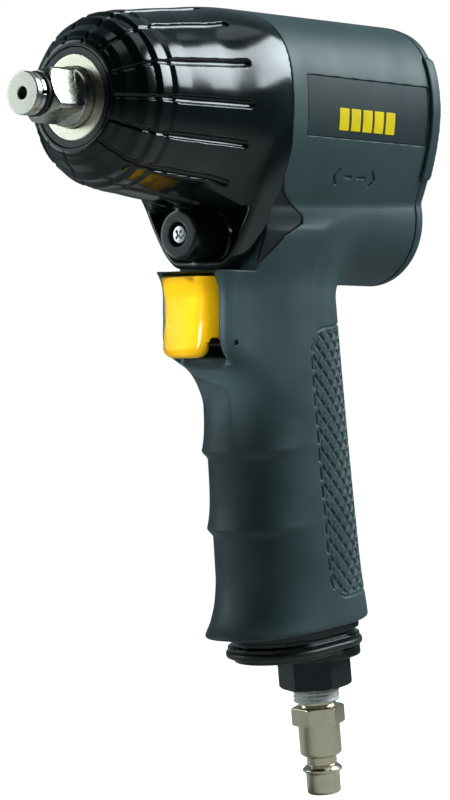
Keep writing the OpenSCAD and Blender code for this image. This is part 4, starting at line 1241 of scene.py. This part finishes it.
def stage():
    """Wide pale floor under the tool."""
    low = Vector(CAD_BOUNDS[0]).z
    spots = np.linspace(-FLOOR_HALF, FLOOR_HALF, FLOOR_STEPS + 1)
    points = [(u, v, low) for u in spots for v in spots]
    row = FLOOR_STEPS + 1
    starts = [i * row + j for i in range(FLOOR_STEPS) for j in range(FLOOR_STEPS)]
    faces = [(a, a + row, a + row + 1, a + 1) for a in starts]
    mesh = bpy.data.meshes.new("Floor")
    mesh.from_pydata(points, [], faces)
    floor = bpy.data.objects.new("Floor", mesh)
    bpy.context.scene.collection.objects.link(floor)
    s = Shader("floor_paper")
    s.set(colour=s.mix(s.remap(s.noise(300), 0.3, 0.7), (0.5, 0.5, 0.5), (0.52, 0.52, 0.52)),
          rough=0.9, gloss=0.1, normal=s.bump(s.noise(2), 0.02))
    seen = s.add("ShaderNodeLightPath").outputs["Is Camera Ray"]
    s.put(s.surface.inputs["Emission Color"], (1, 1, 1))
    s.put(s.surface.inputs["Emission Strength"], s.maths("MULTIPLY", seen, 0.97))
    mesh.materials.append(s.material)


LIGHT_COLOUR = (0.88, 1, 1.04)


def area_light(name, place, aim, size, power, spread=180):
    """Rectangular light that faces its aim; a spread in degrees below 180 narrows its beam."""
    data = bpy.data.lights.new(name, "AREA")
    data.shape = "RECTANGLE"
    data.size, data.size_y = size
    data.energy = power
    data.color = LIGHT_COLOUR
    data.spread = math.radians(spread)
    light = bpy.data.objects.new(name, data)
    light.location = place
    light.rotation_euler = (Vector(aim) - Vector(place)).to_track_quat("-Z", "Y").to_euler()
    bpy.context.scene.collection.objects.link(light)


# Camera fitted to the photo from the standard sizes that it shows.
CAMERA_AT = Vector((0.6793, 0.694, -0.0842))
LOOKING = Vector((-0.73135, -0.682, 0))
CAMERA_LENS, CAMERA_SENSOR = 157.3, 36
ROOM_BEHIND = (0.13, 0.19, 0.205)
ROOM_AHEAD = (0.006, 0.01, 0.011)


def camera():
    """Camera at the photo's place and angle."""
    data = bpy.data.cameras.new("Camera")
    data.lens = CAMERA_LENS
    data.sensor_width = CAMERA_SENSOR
    view = bpy.data.objects.new("Camera", data)
    view.location = CAMERA_AT
    view.rotation_euler = LOOKING.to_track_quat("-Z", "Y").to_euler()
    bpy.context.scene.collection.objects.link(view)
    bpy.context.scene.camera = view


def surroundings():
    """White backdrop to the camera; to the tool, a dim cool room that is dark round the camera."""
    world = bpy.data.worlds.new("Studio")
    bpy.context.scene.world = world
    world.use_nodes = True
    nodes, links = world.node_tree.nodes, world.node_tree.links
    place = nodes.new("ShaderNodeTexCoord").outputs["Generated"]
    facing = nodes.new("ShaderNodeVectorMath")
    facing.operation = "DOT_PRODUCT"
    facing.inputs[1].default_value = -LOOKING.normalized()
    links.new(place, facing.inputs[0])
    ahead = nodes.new("ShaderNodeMapRange")
    ahead.interpolation_type = "SMOOTHSTEP"
    ahead.inputs["From Min"].default_value = -0.9
    ahead.inputs["From Max"].default_value = 0.3
    links.new(facing.outputs["Value"], ahead.inputs["Value"])
    seen = nodes.new("ShaderNodeLightPath").outputs["Is Camera Ray"]
    colour = (*ROOM_BEHIND, 1)
    for share, other in ((ahead.outputs["Result"], ROOM_AHEAD), (seen, (1, 1, 1))):
        mix = nodes.new("ShaderNodeMixRGB")
        links.new(share, mix.inputs["Fac"])
        if isinstance(colour, tuple):
            mix.inputs["Color1"].default_value = colour
        else:
            links.new(colour, mix.inputs["Color1"])
        mix.inputs["Color2"].default_value = (*other, 1)
        colour = mix.outputs["Color"]
    links.new(colour, nodes["Background"].inputs["Color"])


def lights():
    """Soft boxes to the tool's left, ahead of its nose and overhead, and a spot on the trigger."""
    middle = Vector((-0.07, 0, -0.03))
    high = middle + Vector((0, 0, 0.09))
    area_light("Left_box", high + Vector((-0.5, 0.42, 0.36)), high, (0.5, 0.5), 2.7, 95)
    area_light("Nose_box", middle + Vector((0.57, -0.82, 0.15)), middle, (0.4, 0.8), 3.1)
    area_light("Top_box", middle + Vector((-0.1, 0.15, 1.0)), middle, (0.9, 0.7), 1.7)
    front = Vector((TRIGGER_HIGH[0], 0, (TRIGGER_LOW[2] + TRIGGER_HIGH[2]) / 2)) * MM
    spot = front + Vector((0.47, 0.05, 0.13))
    area_light("Trigger_spot", spot, front, (0.02, 0.02), 0.0055, 6)


stage()
camera()
surroundings()
lights()
bpy.context.scene.view_settings.view_transform = "Standard"
bpy.context.scene.view_settings.look = "None"
